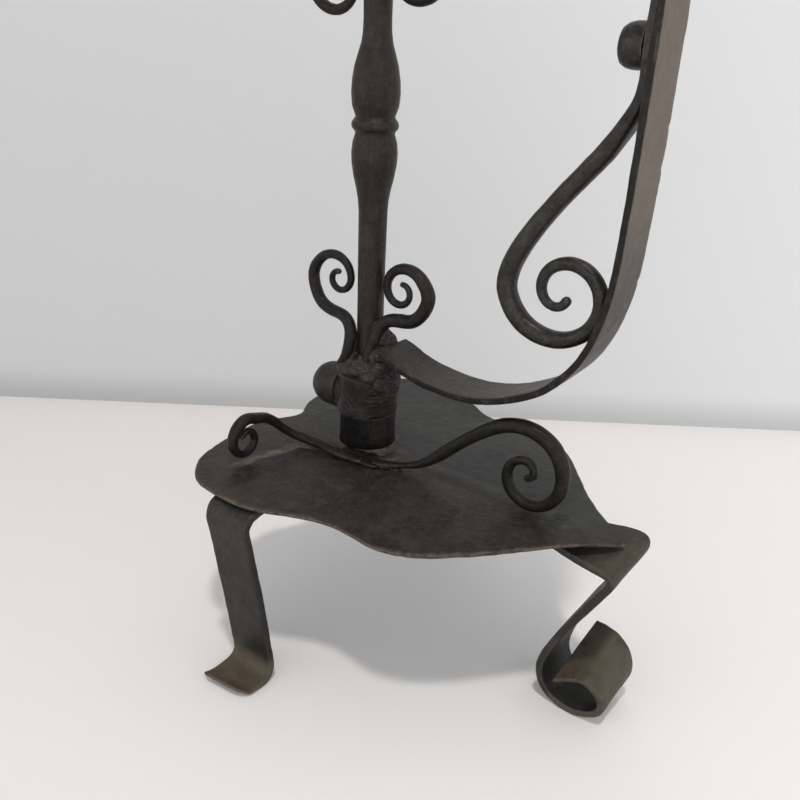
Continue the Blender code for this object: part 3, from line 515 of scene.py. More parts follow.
def iron(name, dark, mid, light, *, seed, tone, spec, rust, rough, metal=0.35, worn=0.5,
         worn_colour=(0.17, 0.15, 0.13), blotch=34.0, grain=1.0, pits=1.0, fleck=0.5,
         patch=None, patch_rough=0.62, patch_at=(0.30, 0.62), patch_size=4.5,
         patch2=None, streak=None):
    """Waxed black iron: broad colour patches, fine mottling, rust flecks and
    blooms, rubbed edges, and the pitted grain of old scale.
    tone scales the three base colours and blotch is the size of their patches in
    mm; rust, worn, fleck, grain and pits are strengths. patch and patch2 are the
    colours laid where those attributes are; streak is marks drawn out along Z."""
    dark, mid, light = (tuple(c * tone for c in base) for base in (dark, mid, light))
    material, graph, surface = new_material(name)
    times, plus, minus = graph.times, graph.plus, graph.minus
    ramp, mix, attribute = graph.ramp, graph.mix, graph.attribute
    # metres to millimetres, moved by the seed
    at = graph.add("VectorMath", {
        0: graph.add("TexCoord", {}).outputs["Object"], 1: (1000.0, 1000.0, 1000.0),
        2: (seed * 17.3, seed * 5.1, seed * 29.7)}, operation="MULTIPLY_ADD").outputs[0]

    def cloud(size, detail=4.0, roughness=0.55, distortion=0.0, vector=at):
        return graph.cloud(vector, size, detail, roughness, distortion)

    broad = cloud(size=blotch, detail=5.0, roughness=0.6, distortion=0.6)
    medium = cloud(size=7.5, detail=6.0, roughness=0.62)
    fine = cloud(size=1.1, detail=3.0, roughness=0.6)
    tiny = cloud(size=0.42, detail=2.0, roughness=0.6)
    speck = cloud(size=2.6, detail=5.0, roughness=0.7)
    colour = mix(ramp(broad, low=0.36, high=0.58), dark, mid)
    colour = mix(ramp(medium, low=0.46, high=0.70), colour, light)
    colour = mix(times(ramp(speck, low=0.50, high=0.66), 0.55), colour,
                 tuple(c * 1.55 for c in light))
    colour = mix(times(ramp(speck, low=0.46, high=0.34), 0.55), colour,
                 tuple(c * 0.45 for c in dark))
    # brown bloom: soft areas where the black has gone to a thin rust
    bloom_area = ramp(cloud(size=blotch * 0.55, detail=5.0, roughness=0.65,
                            distortion=1.1), low=0.50, high=0.72)
    bloom = times(bloom_area, 0.55 * rust)
    colour = mix(bloom, colour, THIN_RUST)
    # orange flecks, denser in the blooms
    flecks = times(ramp(fine, low=0.64, high=0.74), plus(times(bloom_area, 0.7), 0.3))
    flecks = times(flecks, fleck * min(1.0, 0.35 + rust))
    colour = mix(flecks, colour, ORANGE_RUST)
    colour = mix(times(ramp(tiny, low=0.60, high=0.72), 0.16), colour, PALE_GRAIN)
    # dark soot and old wax in the hollows
    colour = mix(times(attribute("hollow"), 0.75), colour, SOOT)
    # rubbed edges and ridges
    rub_grain = ramp(cloud(size=3.6, detail=5.0, roughness=0.65), low=0.34, high=0.62)
    rub = times(times(attribute("worn"), rub_grain), worn)
    colour = mix(rub, colour, worn_colour)
    # each layer's share in the roughness
    roughness = plus(rough, times(minus(medium, 0.5), 0.34))
    roughness = plus(roughness, times(minus(fine, 0.5), 0.20))
    roughness = plus(roughness, times(bloom, 0.35))
    roughness = plus(roughness, times(flecks, 0.4))
    roughness = minus(roughness, times(rub, 0.14))
    # rust is less metallic
    metallic = minus(metal, times(bloom, 0.8), clamp=True)
    metallic = minus(metallic, times(flecks, 0.9), clamp=True)
    if patch is not None:
        broken = cloud(size=patch_size, detail=6.0, roughness=0.7)
        amount = times(attribute("patch"), ramp(broken, *patch_at))
        colour = mix(amount, colour, patch)
        roughness = plus(roughness, times(amount, patch_rough - rough))
        metallic = minus(metallic, times(amount, 0.4), clamp=True)
    if patch2 is not None:
        broken = cloud(size=9.0, detail=5.0, roughness=0.65)
        amount = times(attribute("patch2"), ramp(broken, low=0.22, high=0.50))
        colour = mix(amount, colour, patch2)
    if streak is not None:                # drawing and rubbing marks along a bar
        drawn = graph.add("VectorMath", {0: at, 1: (1.0, 1.0, streak["squash"])},
                          operation="MULTIPLY").outputs[0]
        marks = cloud(size=streak["size"], detail=4.0, roughness=0.7, vector=drawn)
        colour = mix(times(ramp(marks, low=0.52, high=0.74), streak["strength"]),
                     colour, BARE_STREAK)
        roughness = plus(roughness, times(minus(marks, 0.5), 0.25))
    # grain, pits and planishing left in the surface; heights in mm
    pit = graph.add("TexVoronoi", {"Scale": 1.0 / 1.7, "Vector": at})
    pit_depth = ramp(pit.outputs["Distance"], low=0.0, high=0.42)
    pitted = ramp(cloud(size=5.0), low=0.45, high=0.62)
    height = times(tiny, 0.018 * grain)
    height = plus(height, times(fine, 0.05 * grain))
    height = plus(height, times(times(pit_depth, pitted), 0.05 * pits))
    height = plus(height, times(cloud(size=4.2, detail=3.0), 0.20 * grain))
    height = plus(height, times(speck, 0.16 * grain))
    bump = graph.add("Bump", {"Strength": 1.0, "Distance": 0.001, "Height": height})
    bounded = graph.maths("MINIMUM", graph.maths("MAXIMUM", roughness, 0.22), 0.95)
    surface.inputs["Specular IOR Level"].default_value = spec
    for key, socket in (("Base Color", colour), ("Roughness", bounded),
                        ("Metallic", metallic), ("Normal", bump.outputs["Normal"])):
        graph.tree.links.new(socket, surface.inputs[key])
    return material


# Each finish is given its dark, middle and light base colours.
STEM_IRON = iron(
    "stem_iron", (0.020, 0.014, 0.0115), (0.030, 0.020, 0.016), (0.038, 0.029, 0.024),
    seed=1, tone=0.56, spec=0.28, rust=0.45, rough=0.44, worn=0.35,
    streak={"squash": 0.10, "size": 1.1, "strength": 0.10})
SCROLL_IRON = iron(
    "scroll_iron", (0.017, 0.0135, 0.012), (0.026, 0.020, 0.0165), (0.036, 0.030, 0.026),
    seed=2, tone=0.50, spec=0.20, rust=0.30, rough=0.45, worn=0.45)
HUB_IRON = iron(
    "hub_iron", (0.013, 0.0105, 0.0095), (0.020, 0.0155, 0.014), (0.032, 0.026, 0.023),
    seed=3, tone=0.60, spec=0.30, rust=0.40, rough=0.50, worn=0.55,
    worn_colour=(0.11, 0.095, 0.085), blotch=16)
BLOCK_IRON = iron(
    "block_iron", (0.009, 0.0080, 0.0078), (0.014, 0.0120, 0.0115), (0.024, 0.020, 0.018),
    seed=4, tone=0.42, spec=0.20, rust=0.25, rough=0.46, worn=0.30, blotch=14,
    patch=(0.0150, 0.0105, 0.0098))
KNOB_IRON = iron(
    "knob_iron", (0.016, 0.0125, 0.011), (0.026, 0.019, 0.016), (0.036, 0.029, 0.026),
    seed=5, tone=0.72, spec=0.36, rust=0.45, rough=0.48, worn=0.35, blotch=12)
# The weld's pale worn colour on the blister tips is partly rubbed wear and partly painted
# glints.
WELD_IRON = iron(
    "weld_iron", (0.010, 0.0080, 0.0080), (0.018, 0.0130, 0.0120), (0.032, 0.023, 0.020),
    seed=6, tone=0.58, spec=0.42, rust=0.7, rough=0.58, metal=0.2, worn=0.45,
    worn_colour=(0.150, 0.128, 0.112), blotch=9, grain=2.2, pits=2.5, fleck=0.8)
MELTED_IRON = iron(
    "melted_iron", (0.015, 0.0115, 0.010), (0.024, 0.0180, 0.0150), (0.036, 0.029, 0.024),
    seed=13, tone=0.75, spec=0.36, rust=0.5, rough=0.46, metal=0.3, blotch=8, grain=1.2,
    patch=(0.060, 0.040, 0.030))
SEAM_IRON = iron(
    "seam_iron", (0.020, 0.015, 0.012), (0.034, 0.024, 0.018), (0.050, 0.037, 0.028),
    seed=7, tone=1.15, spec=0.35, rust=0.6, rough=0.55, metal=0.25, blotch=9, grain=1.4)
# The plate's patch colour is pale rubbing together with painted highlights on the top.
PLATE_IRON = iron(
    "plate_iron", (0.015, 0.0125, 0.0100), (0.028, 0.0235, 0.0188), (0.043, 0.037, 0.030),
    seed=8, tone=0.78, spec=0.40, rust=0.60, rough=0.47, worn=0.75,
    worn_colour=(0.135, 0.095, 0.072), blotch=38, grain=1.3, pits=1.8, fleck=0.7,
    patch=(0.142, 0.113, 0.086), patch2=(0.027, 0.028, 0.0245))
# LEG_IRON's patch2 colour is painted shade inside the front leg's roll, and a darker band on
# the side legs' shins.
LEG_IRON = iron(
    "leg_iron", (0.021, 0.020, 0.0165), (0.031, 0.029, 0.024), (0.044, 0.039, 0.032),
    seed=9, tone=0.66, spec=0.36, rust=0.40, rough=0.50, worn=0.45,
    worn_colour=(0.12, 0.095, 0.075), blotch=30, pits=1.3, fleck=0.6,
    patch=(0.078, 0.059, 0.038), patch_at=(0.18, 0.52), patch_size=9.0,
    patch2=(0.0135, 0.0120, 0.0105))
# ARM_IRON's patch colour is painted light on the outer face, partly rubbed bare.
# Its patch2 colour is painted shade on the -Y edge, and darker low on the outer face and by
# the hub.
ARM_IRON = iron(
    "arm_iron", (0.038, 0.033, 0.027), (0.058, 0.051, 0.042), (0.086, 0.075, 0.061),
    seed=10, tone=0.70, spec=0.28, rust=0.15, rough=0.46, metal=0.40, worn=0.25,
    worn_colour=(0.16, 0.14, 0.12), blotch=26, grain=1.2, fleck=0.25,
    patch=(0.114, 0.085, 0.065), patch_rough=0.50, patch_at=(0.02, 0.42),
    patch_size=22.0, patch2=(0.0105, 0.0085, 0.0075),
    streak={"squash": 0.07, "size": 1.3, "strength": 0.22})
BRACE_IRON = iron(
    "brace_iron", (0.014, 0.0115, 0.0105), (0.023, 0.0185, 0.016), (0.040, 0.034, 0.029),
    seed=11, tone=0.85, spec=0.40, rust=0.25, rough=0.40, metal=0.40, worn=0.40,
    blotch=22)


# ---------------------------------------------------------------- base plate
# Degrees from +X, radius; mirrored to the -Y half
PLATE_OUTLINE = (
    (0, 178.0), (6, 161.0), (13, 149.5), (20, 142.0), (28, 136.0), (38, 129.0),
    (48, 119.0), (56, 106.0), (64, 98.5), (71, 97.5), (80, 101.0), (90, 106.5),
    (102, 110.5), (114, 113.0), (124, 108.5), (134, 99.0), (146, 87.0),
    (157, 80.5), (168, 70.0), (180, 62.0),
)
# Degrees, amount the +Y edge is filed in behind the tip
PLATE_FILED = ((0, 0), (6, 2.8), (13, 4.4), (20, 4.0), (28, 2.4), (40, 0))
PLATE_HOLE_R = 8.3
PLATE_EDGE_R = 1.3                  # reach of the rounded rim
# x, y along a pale line on the top beside the side scroll's tail, partly rubbed wear and
# partly a painted highlight crest
RUBBED_HIGHLIGHT_LINE = np.array([(-38, -78), (-37, -71), (-36, -59), (-32, -50), (-30.5, -40),
                   (-29, -33), (-20, -29.5), (-9, -26.5), (4, -27), (14, -25)], float)
# x, y, radius, strength of pale spots on the top, partly rubbed wear and partly painted
# highlights
RUBBED_HIGHLIGHT_SPOTS = ((25, 6, 8.5, 0.85), (11, 19, 6.5, 0.7), (-14, -87, 3.4, 0.45),
         (146, -8, 3.2, 0.4), (30, -12, 7, 0.5), (148, 4, 8, 0.30),
         (22, 26, 7, 0.5), (0, 32, 7, 0.35))


def plate_rim(around):
    """Radius of the plate's ragged rim at each bearing."""
    angles, radii = np.array(PLATE_OUTLINE, float).T
    filed = np.interp(angles, *np.transpose(PLATE_FILED))
    knots = np.concatenate([angles, 360.0 - angles[-2:0:-1], [360.0]])
    values = np.concatenate([radii - filed, radii[-2:0:-1], [radii[0]]])
    rim = natural(knots, values, around)
    bearing = np.radians(around)
    edge = np.stack([rim * np.cos(bearing), rim * np.sin(bearing), 0 * rim], 1)
    return (rim + 0.45 * noise(edge, size=13, seed=3) + 0.22 * noise(edge, size=4.5, seed=4)
            - 0.55 * smooth(0.45, 0.9, noise(edge, size=5.5, seed=5)))


def plate_surface(around, rim):
    """The plate's waists at 54 degrees either side of +X sag, and its tip dips."""
    bearing = np.radians(around)
    waist = np.abs(np.abs((around + 180) % 360 - 180) - 54)
    sag = np.where(waist < 24, np.cos(np.radians(waist * 90 / 24)), 0.0)

    def ring(radius, height):
        z = height - 1.6 * sag * np.maximum(0.0, (radius / rim - 0.6) / 0.4) ** 2
        x, y = radius * np.cos(bearing), radius * np.sin(bearing)
        beyond = np.clip((x - 149.0) / 29.0, 0.0, 1.0)
        z = z - 2.0 * beyond ** 1.5 * bell(np.maximum(y, 0.0), 6.0)
        return np.stack([x, y, z], 1)

    def face_ring(share, height):
        return ring(PLATE_HOLE_R + (rim - PLATE_EDGE_R - PLATE_HOLE_R) * share, height)

    low = PLATE_TOP - PLATE_THICK
    shares = 1 - (1 - np.linspace(0.0, 1.0, count(64))) ** 1.15
    edge = [ring(rim - PLATE_EDGE_R + PLATE_EDGE_R * math.cos(a),
                 (PLATE_TOP + low) / 2 + (PLATE_THICK / 2 - 0.15) * math.sin(a))
            for a in np.radians(np.linspace(-72, 72, 9))]
    return skin([face_ring(t, low) for t in shares[::2]] + edge
                + [face_ring(t, PLATE_TOP) for t in shares[::-1]], closed=True)


def base_plate():
    steps = count(960)
    around = np.arange(steps) * 360.0 / steps
    rim = plate_rim(around)

    def relief(points, normals):
        x, y, _ = points.T
        up = smooth(0.3, 0.8, normals[:, 2])
        under = smooth(-0.3, -0.8, normals[:, 2])
        side = smooth(0.75, 0.3, np.abs(normals[:, 2]))
        reach = off_axis(points)
        tall = points * (1, 1, 2.0)
        marks = hammer(tall, cell=19, seed=21)
        lift = up * (1 - smooth(32, 20, reach)) * (
            0.55 * (marks - 0.55) + dents(tall, depth=0.10, cell=8.5, seed=25, level=0.5)
            + 0.45 * noise(points, size=46, seed=28))
        # a ridge and a groove beside it run out toward the tip
        lift += up * 0.55 * bell(y + 3.0 + 0.02 * x, 5.0) * smooth(22, 60, x) \
            * smooth(175, 120, x)
        lift -= up * 0.35 * bell(y - 4.5, 3.5) * smooth(22, 60, x) * smooth(170, 120, x)
        lift += 0.05 * fbm(points, size=3.5, seed=30)
        lift += side * 0.18 * noise(points, size=6, seed=33)
        # a raised hammered lip runs along the rim
        local = np.interp(bearing_of(points) % 360, around, rim, period=360)
        lip = up * smooth(7.0, 1.0, local - reach)
        lift += lip * 0.22 * (0.4 + noise(points, size=9, seed=36))
        lift += lip * dents(points, depth=0.22, cell=6.5, seed=38, level=0.5)
        return lift - under * 0.06 * (marks - 0.5)

    # Pale patches on the top, partly rubbed wear and partly painted highlights.
    def rubbed_and_highlit(points, normals):
        x, y, _ = points.T
        distance = np.full(len(points), 99.0)
        for a, b in zip(RUBBED_HIGHLIGHT_LINE, RUBBED_HIGHLIGHT_LINE[1:]):
            ab = b - a
            t = np.clip(((x - a[0]) * ab[0] + (y - a[1]) * ab[1]) / (ab @ ab), 0, 1)
            distance = np.minimum(distance,
                                  np.hypot(x - a[0] - ab[0] * t, y - a[1] - ab[1] * t))
        value = 0.9 * smooth(4.6, 1.6, distance + 1.2 * noise(points, size=5, seed=41))
        ragged = 2.2 * noise(points, size=4.5, seed=43)
        for spot_x, spot_y, radius, strength in RUBBED_HIGHLIGHT_SPOTS:
            distance = np.hypot(x - spot_x, y - spot_y) + ragged
            value = np.maximum(value, strength * smooth(radius, radius * 0.45, distance))
        return value * smooth(0.2, 0.7, normals[:, 2])

    def right_half(points, normals):
        x, y, _ = points.T
        lean = y + 0.02 * x + 4 * noise(points, size=30, seed=45)
        return smooth(-4, 10, lean) * smooth(0.2, 0.7, normals[:, 2])

    piece("base_plate", plate_surface(around, rim), PLATE_IRON, relief,
          worn=(0.10, 0.5), patch=rubbed_and_highlit, patch2=right_half)


base_plate()


# ---------------------------------------------------------------------- legs
FRONT_LEG_W = 34.0
SIDE_LEG_W = 32.0
ROLL_CENTRE = np.array([168.0, 0.0, 24.0])      # of the front leg's rolled foot
# x or distance out, z along the middle of a side leg
SIDE_LEG = (
    (60, LEG_MID_Z), (80, LEG_MID_Z - 0.1), (99, LEG_MID_Z - 0.3), (106.6, 107.0),
    (110.2, 101.6), (110.4, 94), (109.6, 75), (107.8, 42), (106.3, 16), (106.9, 6.8),
    (110.6, 2.9), (118, LEG_THICK / 2), (125, 3.0), (131.5, 6.2),
)
# x, z along the front leg's -Y edge, then along its +Y edge, station by station
FRONT_NEAR = (
    (98, LEG_MID_Z), (125, LEG_MID_Z - 0.3), (150, 104.4), (167.5, 100.6),
    (177.0, 98.4), (178.4, 94.0), (173.4, 84), (163.0, 64.5), (152.8, 44),
    (147.2, 28), (146.9, 16.5), (152.4, 6.8), (164.5, LEG_THICK / 2), (177.5, 4.8),
    (185.4, 12.4), (182.2, 21.2), (171.2, 24.8), (156.2, 16.6),
)
FRONT_FAR = (
    (98, LEG_MID_Z), (125, LEG_MID_Z), (153, LEG_MID_Z - 0.3), (171, 111.6),
    (181.4, 112.2), (184.0, 107.2), (179.4, 96), (168.4, 75), (157.0, 51.5),
    (149.4, 31), (148.4, 17.5), (154.4, 7.0), (166, LEG_THICK / 2), (181.2, 7.6),
    (188.0, 21.0), (185.2, 33.6), (177.4, 41.8), (165.4, 44.2),
)


def leg_relief(seed):
    """Hammer marks that leave the sole and the seat under the plate flat."""
    def relief(points, normals):
        lift = (dents(points, depth=0.42, cell=15.0, seed=seed)
                + dents(points, depth=0.10, cell=6.75, seed=seed + 5, level=0.5)
                + 0.30 * noise(points, size=34, seed=seed + 8)
                + 0.05 * fbm(points, size=3.0, seed=seed + 9))
        z = points[:, 2]
        lift *= 1 - smooth(2.5, 0.5, z)
        top = smooth(0.6, 0.9, normals[:, 2]) * smooth(109, 111, z)
        return lift * (1 - top) - 0.1 * top
    return relief


def faint_rust(points):
    return 0.16 * np.clip(noise(points, size=16, seed=51), 0, 1)


def rusty_toe(points, normals):
    """Brown where the toe is walked bare of its wax."""
    toe = smooth(20, 9, points[:, 2])
    return np.maximum(faint_rust(points),
                      toe * (0.80 + 0.2 * noise(points, size=9, seed=53)))


def rusty_roll(points, normals):
    """Brown on the outside of the front leg's roll and on its upper bend."""
    x, _, z = points.T
    spoke = points - ROLL_CENTRE
    outside = smooth(0.0, 0.5, (spoke * normals).sum(1)
                     / np.maximum(np.hypot(spoke[:, 0], spoke[:, 2]), 1))
    roll = 0.78 * smooth(52, 40, z) * smooth(150, 158, x) * outside
    top = 0.45 * smooth(90, 99, z) * smooth(158, 168, x)
    return np.maximum(faint_rust(points), np.maximum(roll, top)
                      * (0.85 + 0.15 * noise(points, size=9, seed=53)))


def painted_shade_in_roll(points, normals):
    """Painted shade inside the roll, where light hardly reaches."""
    inward = ((points - ROLL_CENTRE) * normals).sum(1) / 16.0
    return smooth(0.2, -0.3, inward) * smooth(50, 40, points[:, 2])


def dark_shin(points, normals):
    return 0.85 * smooth(104, 58, points[:, 2]) * smooth(10, 22, points[:, 2])


def wave(edge, other, seed, size=0.35):
    """Lets a bar's edge wander a little toward and away from the other edge."""
    wander = size * noise(edge, 11, seed) + 0.5 * size * noise(edge, 4, seed + 1)
    return edge + unit(edge - other) * wander[:, None]


def front_leg():
    near = upright(knot_spline(FRONT_NEAR, count(330)), -FRONT_LEG_W / 2)
    far = upright(knot_spline(FRONT_FAR, count(330)), FRONT_LEG_W / 2)
    near, far = wave(near, far, seed=61), wave(far, near, seed=63)
    bar = flat_bar(near, far, LEG_THICK / 2, radius=1.2, steps=(count(22), 4, 5),
                   end_radius=0.8)
    piece("leg_front", bar, LEG_IRON, leg_relief(65), patch=rusty_roll, patch2=painted_shade_in_roll)


def side_leg(name, side):
    """Shaped along X, then turned to point to side (1 or -1) along Y."""
    middle = spline(SIDE_LEG, count(250))
    samples = len(middle)
    a, b = (upright(middle, y) for y in (-SIDE_LEG_W / 2, SIDE_LEG_W / 2))
    skew = smooth(samples * 0.93, samples - 1.0, np.arange(samples))
    a[:, 0] += 1.2 * skew
    b[:, 0] -= 2.4 * skew
    for edge in (a, b):
        edge[:, 1] -= np.interp(edge[:, 2], (8.0, 60.0, 101.0), (-1.0, 4.2, 11.5))
    a, b = wave(a, b, seed=71 + side), wave(b, a, seed=75 + side)
    # the toe is drawn out thin and its corners are rounded
    toe = smooth(0.84, 1.0, np.linspace(0, 1, samples))
    half = LEG_THICK / 2 - 1.55 * toe
    run = run_length(middle)
    for edge, other, corner in ((a, b, 2.2), (b, a, 8.5)):
        into = np.clip(1 - (run[-1] - run) / corner, 0, 1)
        inset = corner * (1 - np.sqrt(1 - into ** 2))
        edge += unit(other - edge) * np.minimum(inset, corner * 0.93)[:, None]
        edge[:, 2] -= 0.9 * toe
    points, faces = flat_bar(a, b, half, radius=np.minimum(1.2, half * 0.9),
                             steps=(count(20), 4, 5), end_radius=0.4)
    x, y, z = points.T
    piece("leg_" + name, (np.stack([y, side * x, z], 1), faces), LEG_IRON,
          leg_relief(80 + side), patch=rusty_toe, patch2=dark_shin)


front_leg()
side_leg("left", -1)
side_leg("right", 1)


def plate_rivet(which, x, y, drop):
    """A rivet almost flush with the plate; drop lowers its foot."""
    foot = LEG_MID_Z - LEG_THICK / 2 - drop
    top = PLATE_TOP - 0.4
    points, faces = lathe((
        (foot - 2.5, 0.0), (foot - 2.1, 3.4), (foot - 1.1, 5.0), (foot - 0.6, 5.1),
        (foot - 0.6, 3.2), (top, 3.2), (top, 5.2), (top + 0.4, 4.6), (top + 0.55, 3.2),
        (top + 0.6, 0.0)), sides=48, step=0.45, round_off=0.3)
    piece("rivet_" + which, (points + (x, y, 0.0), faces), PLATE_IRON,
          lambda points, normals: (0.10 * noise(points, size=3.5, seed=91)
                                   + 0.03 * fbm(points, size=1.2, seed=92)),
          patch=lambda points, normals: np.zeros(len(points)),
          patch2=lambda points, normals: np.full(len(points), 1.0 if y > 0 else 0.0))


plate_rivet("front", 140.0, 0.0, drop=3.2)
plate_rivet("left", -12.0, -86.0, drop=0.0)
plate_rivet("right", -12.0, 86.0, drop=0.0)


# ------------------------------------------------------- pivot block and washer
def pivot_block():
    """A round block with a tenon through the plate and a pin up into the hub."""
    profile = (
        (104.3, 0.0), (104.3, 7.0), (105.2, 9.4), (106.8, 10.2), (107.9, 9.6),
        (108.0, 8.0), (PLATE_TOP + 0.1, 8.0), (PLATE_TOP + 0.1, BLOCK_R),
        (BLOCK_TOP - 0.6, BLOCK_R), (BLOCK_TOP, BLOCK_R - 0.6), (BLOCK_TOP, 10.0),
        (156.5, 10.0), (157.5, 9.0), (157.5, 0.0))

    def brown(points, normals):
        edge = bearing_of(points) + 9 * noise(points, size=5, seed=104)
        return smooth(-52, -36, edge) * smooth(119, 127, points[:, 2])

    piece("pivot_block", lathe(profile, count(112), step=0.8, round_off=0.5), BLOCK_IRON,
          planished(depth=0.30, cell=8, seed=101, grit=0.05, grit_size=2.6, squash=0.8,
                    where=lambda points: smooth(11, 15, off_axis(points))), patch=brown)


def tenon_washer():
    profile = ((108.3, 8.3), (108.3, 14.2), (109.0, 15.0), (111.0, 15.0),
               (111.7, 14.4), (111.7, 8.3))
    piece("tenon_washer", lathe(profile, count(80), step=0.8, round_off=0.4, closed=True),
          BLOCK_IRON, lambda points, normals: 0.06 * noise(points, size=4, seed=105))


def block_fillet():
    """The weld bead round the foot of the block."""
    # height above the plate, distance out from the block
    section = ((-0.3, 0.1), (-0.3, 5.0), (0.2, 4.4), (0.8, 2.8), (1.7, 1.4), (2.6, 0.3))
    profile = [(PLATE_TOP + z, BLOCK_R + r) for z, r in section]

    def bead(points, normals):
        out = smooth(BLOCK_R + 0.4, BLOCK_R + 1.6, off_axis(points))
        return out * (0.55 * noise(points, size=7.5, seed=107)
                      + 0.28 * noise(points, size=2.2, seed=108) - 0.25
                      + 0.3 * smooth(0.35, 0.8, noise(points, size=3.1, seed=109)))

    piece("block_fillet", lathe(profile, count(220), step=0.35, round_off=0.4, closed=True),
          SEAM_IRON, bead, name="block_fillet_weld")


pivot_block()
tenon_washer()
block_fillet()


# -------------------------------------------------------- scrolls on the base
def forged_rod(node, path, across, thick, wide, seed, finish=SCROLL_IRON, sides=26,
               square=2.35, dent=0.28, cell=7.5):
    """A hammered rod; thick and wide are its half sizes along the path."""
    def relief(points, normals):
        return (dents(points, dent, cell, seed)
                + 0.10 * noise(points, size=14, seed=seed + 3)
                + 0.045 * fbm(points, size=2.4, seed=seed + 4))
    piece(node, rod(path, across, thick, wide, sides, square), finish, relief)


def section_along(path, stations):
    """Half sizes along an evenly sampled path, from (share, thick, wide) rows."""
    share, thick, wide = np.transpose(stations)
    along = np.linspace(0, 1, len(path))
    return np.interp(along, share, thick), np.interp(along, share, wide)


# x, y, z of each scroll's lead from its flattened tail to its curl
BASE_FRONT_LEAD = (
    (24.5, -23.6, 117.4), (33.0, -20.2, 117.6), (42.0, -17.6, 119.4),
    (51.5, -16.2, 122.6), (60.0, -14.8, 127.8), (68.0, -13.6, 135.0),
    (78.0, -12.4, 144.6), (90.0, -11.0, 154.6), (101.0, -9.8, 161.8),
    (111.0, -9.2, 165.0),
)
BASE_SIDE_LEAD = (
    (16.5, -27.2, 117.4), (5.0, -28.8, 117.6), (-8.0, -28.6, 117.9),
    (-19.0, -28.6, 118.2), (-28.0, -30.4, 119.2), (-34.5, -35.2, 122.8),
    (-38.2, -42.8, 130.0), (-39.3, -52.0, 137.2),
)
SIDE_CURL_X = -39.3
# share of the length, half thickness, half width
BASE_FRONT_SECTION = ((0, 1.5, 3.4), (0.10, 2.1, 3.8), (0.22, 4.0, 4.2),
                      (0.55, 4.3, 4.4), (0.8, 3.3, 3.6), (1.0, 2.3, 2.5))
BASE_SIDE_SECTION = ((0, 1.5, 3.2), (0.16, 2.1, 3.8), (0.3, 2.9, 3.8),
                     (0.6, 3.5, 3.7), (0.8, 2.8, 3.0), (1.0, 2.0, 2.2))


def base_front_scroll():
    curl = volute(centre=(121.0, 139.6), start=90.0, turn=-1,
                  radii=(25.6, 20.6, 19.2, 11.6, 6.0, 3.4, 3.4))
    path = spline(np.concatenate([BASE_FRONT_LEAD, upright(curl, -9.0)]), count(330))
    forged_rod("base_scroll_front", path, (0.0, 1.0, 0.0),
               *section_along(path, BASE_FRONT_SECTION), seed=111)


def base_side_scroll():
    """Runs along -X on the plate, then curls toward -Y in the plane SIDE_CURL_X."""
    curl = volute(centre=(69.5, 130.0), start=127.0, turn=-1,
                  radii=(13.0, 10.3, 10.2, 8.2, 4.7, 3.2))
    curl = np.insert(curl * (-1, 1), 0, SIDE_CURL_X, axis=1)
    path = spline(np.concatenate([BASE_SIDE_LEAD, curl]), count(290))
    along_x, along_y, _ = np.gradient(path, axis=0).T
    aside = unit(np.stack([along_y, -along_x, 0 * along_x], 1))
    in_curl = smooth(-44, -52, path[:, 1])[:, None]
    aside = aside * (1 - in_curl) + np.array([-1.0, 0.0, 0.0]) * in_curl
    forged_rod("base_scroll_side", path, aside,
               *section_along(path, BASE_SIDE_SECTION), seed=121)


base_front_scroll()
base_side_scroll()

# ------------------------------------------------------------- hub and knob
SEAT_X = -18.55                     # the flat on the hub where the knob bears
# offset, depth of the slanting chisel cuts on the hub's -Y side
CHISEL_CUTS = ((-4.4, 0.35), (-1.2, 0.55), (1.9, 0.45), (3.4, 0.3))


def hub_relief(points, normals):
    x, y, z = points.T
    outer = smooth(14, 16.5, off_axis(points))
    bearing = bearing_of(points)
    lift = dents(points * (1, 1, 0.9), depth=0.26, cell=9, seed=131)
    lift += 0.07 * fbm(points, size=2.2, seed=133) + 0.25 * noise(points, size=11, seed=134)
    # blistered toward the arm
    rough = smooth(-66, -38, bearing) * smooth(75, 50, bearing)
    rough *= smooth(141, 151, z + 3.0 * noise(points, size=7, seed=135))
    lift += rough * blisters(points, height=0.6, seed=261)
    slant = (z - 151) * 0.80 + np.radians(bearing + 97) * HUB_R * 0.62
    slant -= 0.35 * noise(points, size=5, seed=137)
    cut_area = (smooth(-134, -122, bearing) * smooth(-70, -84, bearing)
                * smooth(142.5, 145.5, z) * smooth(163, 160, z))
    for offset, depth in CHISEL_CUTS:
        lift -= depth * bell(slant - offset, 0.42) * cut_area
    # bruised lip, beaten out and down over the joint along the lower -Y edge
    lip = smooth(-38, -62, bearing + 8 * noise(points, size=6, seed=138))
    lip *= smooth(-178, -150, bearing) * smooth(146.5, 140.6, z)
    lip *= 0.62 + 0.38 * noise(points, size=6.5, seed=139)
    lift += 1.15 * lip
    move = normals * (lift * outer)[:, None]
    move[:, 2] -= 2.1 * lip * smooth(18.5, 19.3, off_axis(points + move))
    seat = smooth(14.6, 12.6, np.hypot(y, z - KNOB_Z)) * (x < -4) * outer
    move[:, 0] = move[:, 0] * (1 - seat) + seat * (SEAT_X - x)
    return move


def swivel_hub():
    profile = (
        (HUB_LOW, 10.3), (HUB_LOW, HUB_R - 0.5), (HUB_LOW + 0.6, HUB_R),
        (HUB_TOP - 2.2, HUB_R), (HUB_TOP, HUB_R - 2.4), (HUB_TOP, 6.3),
        (158.2, 6.3), (158.2, 10.3))
    piece("swivel_hub", lathe(profile, count(200), step=0.4, round_off=0.5, closed=True),
          HUB_IRON, hub_relief, worn=(0.2, 0.9))


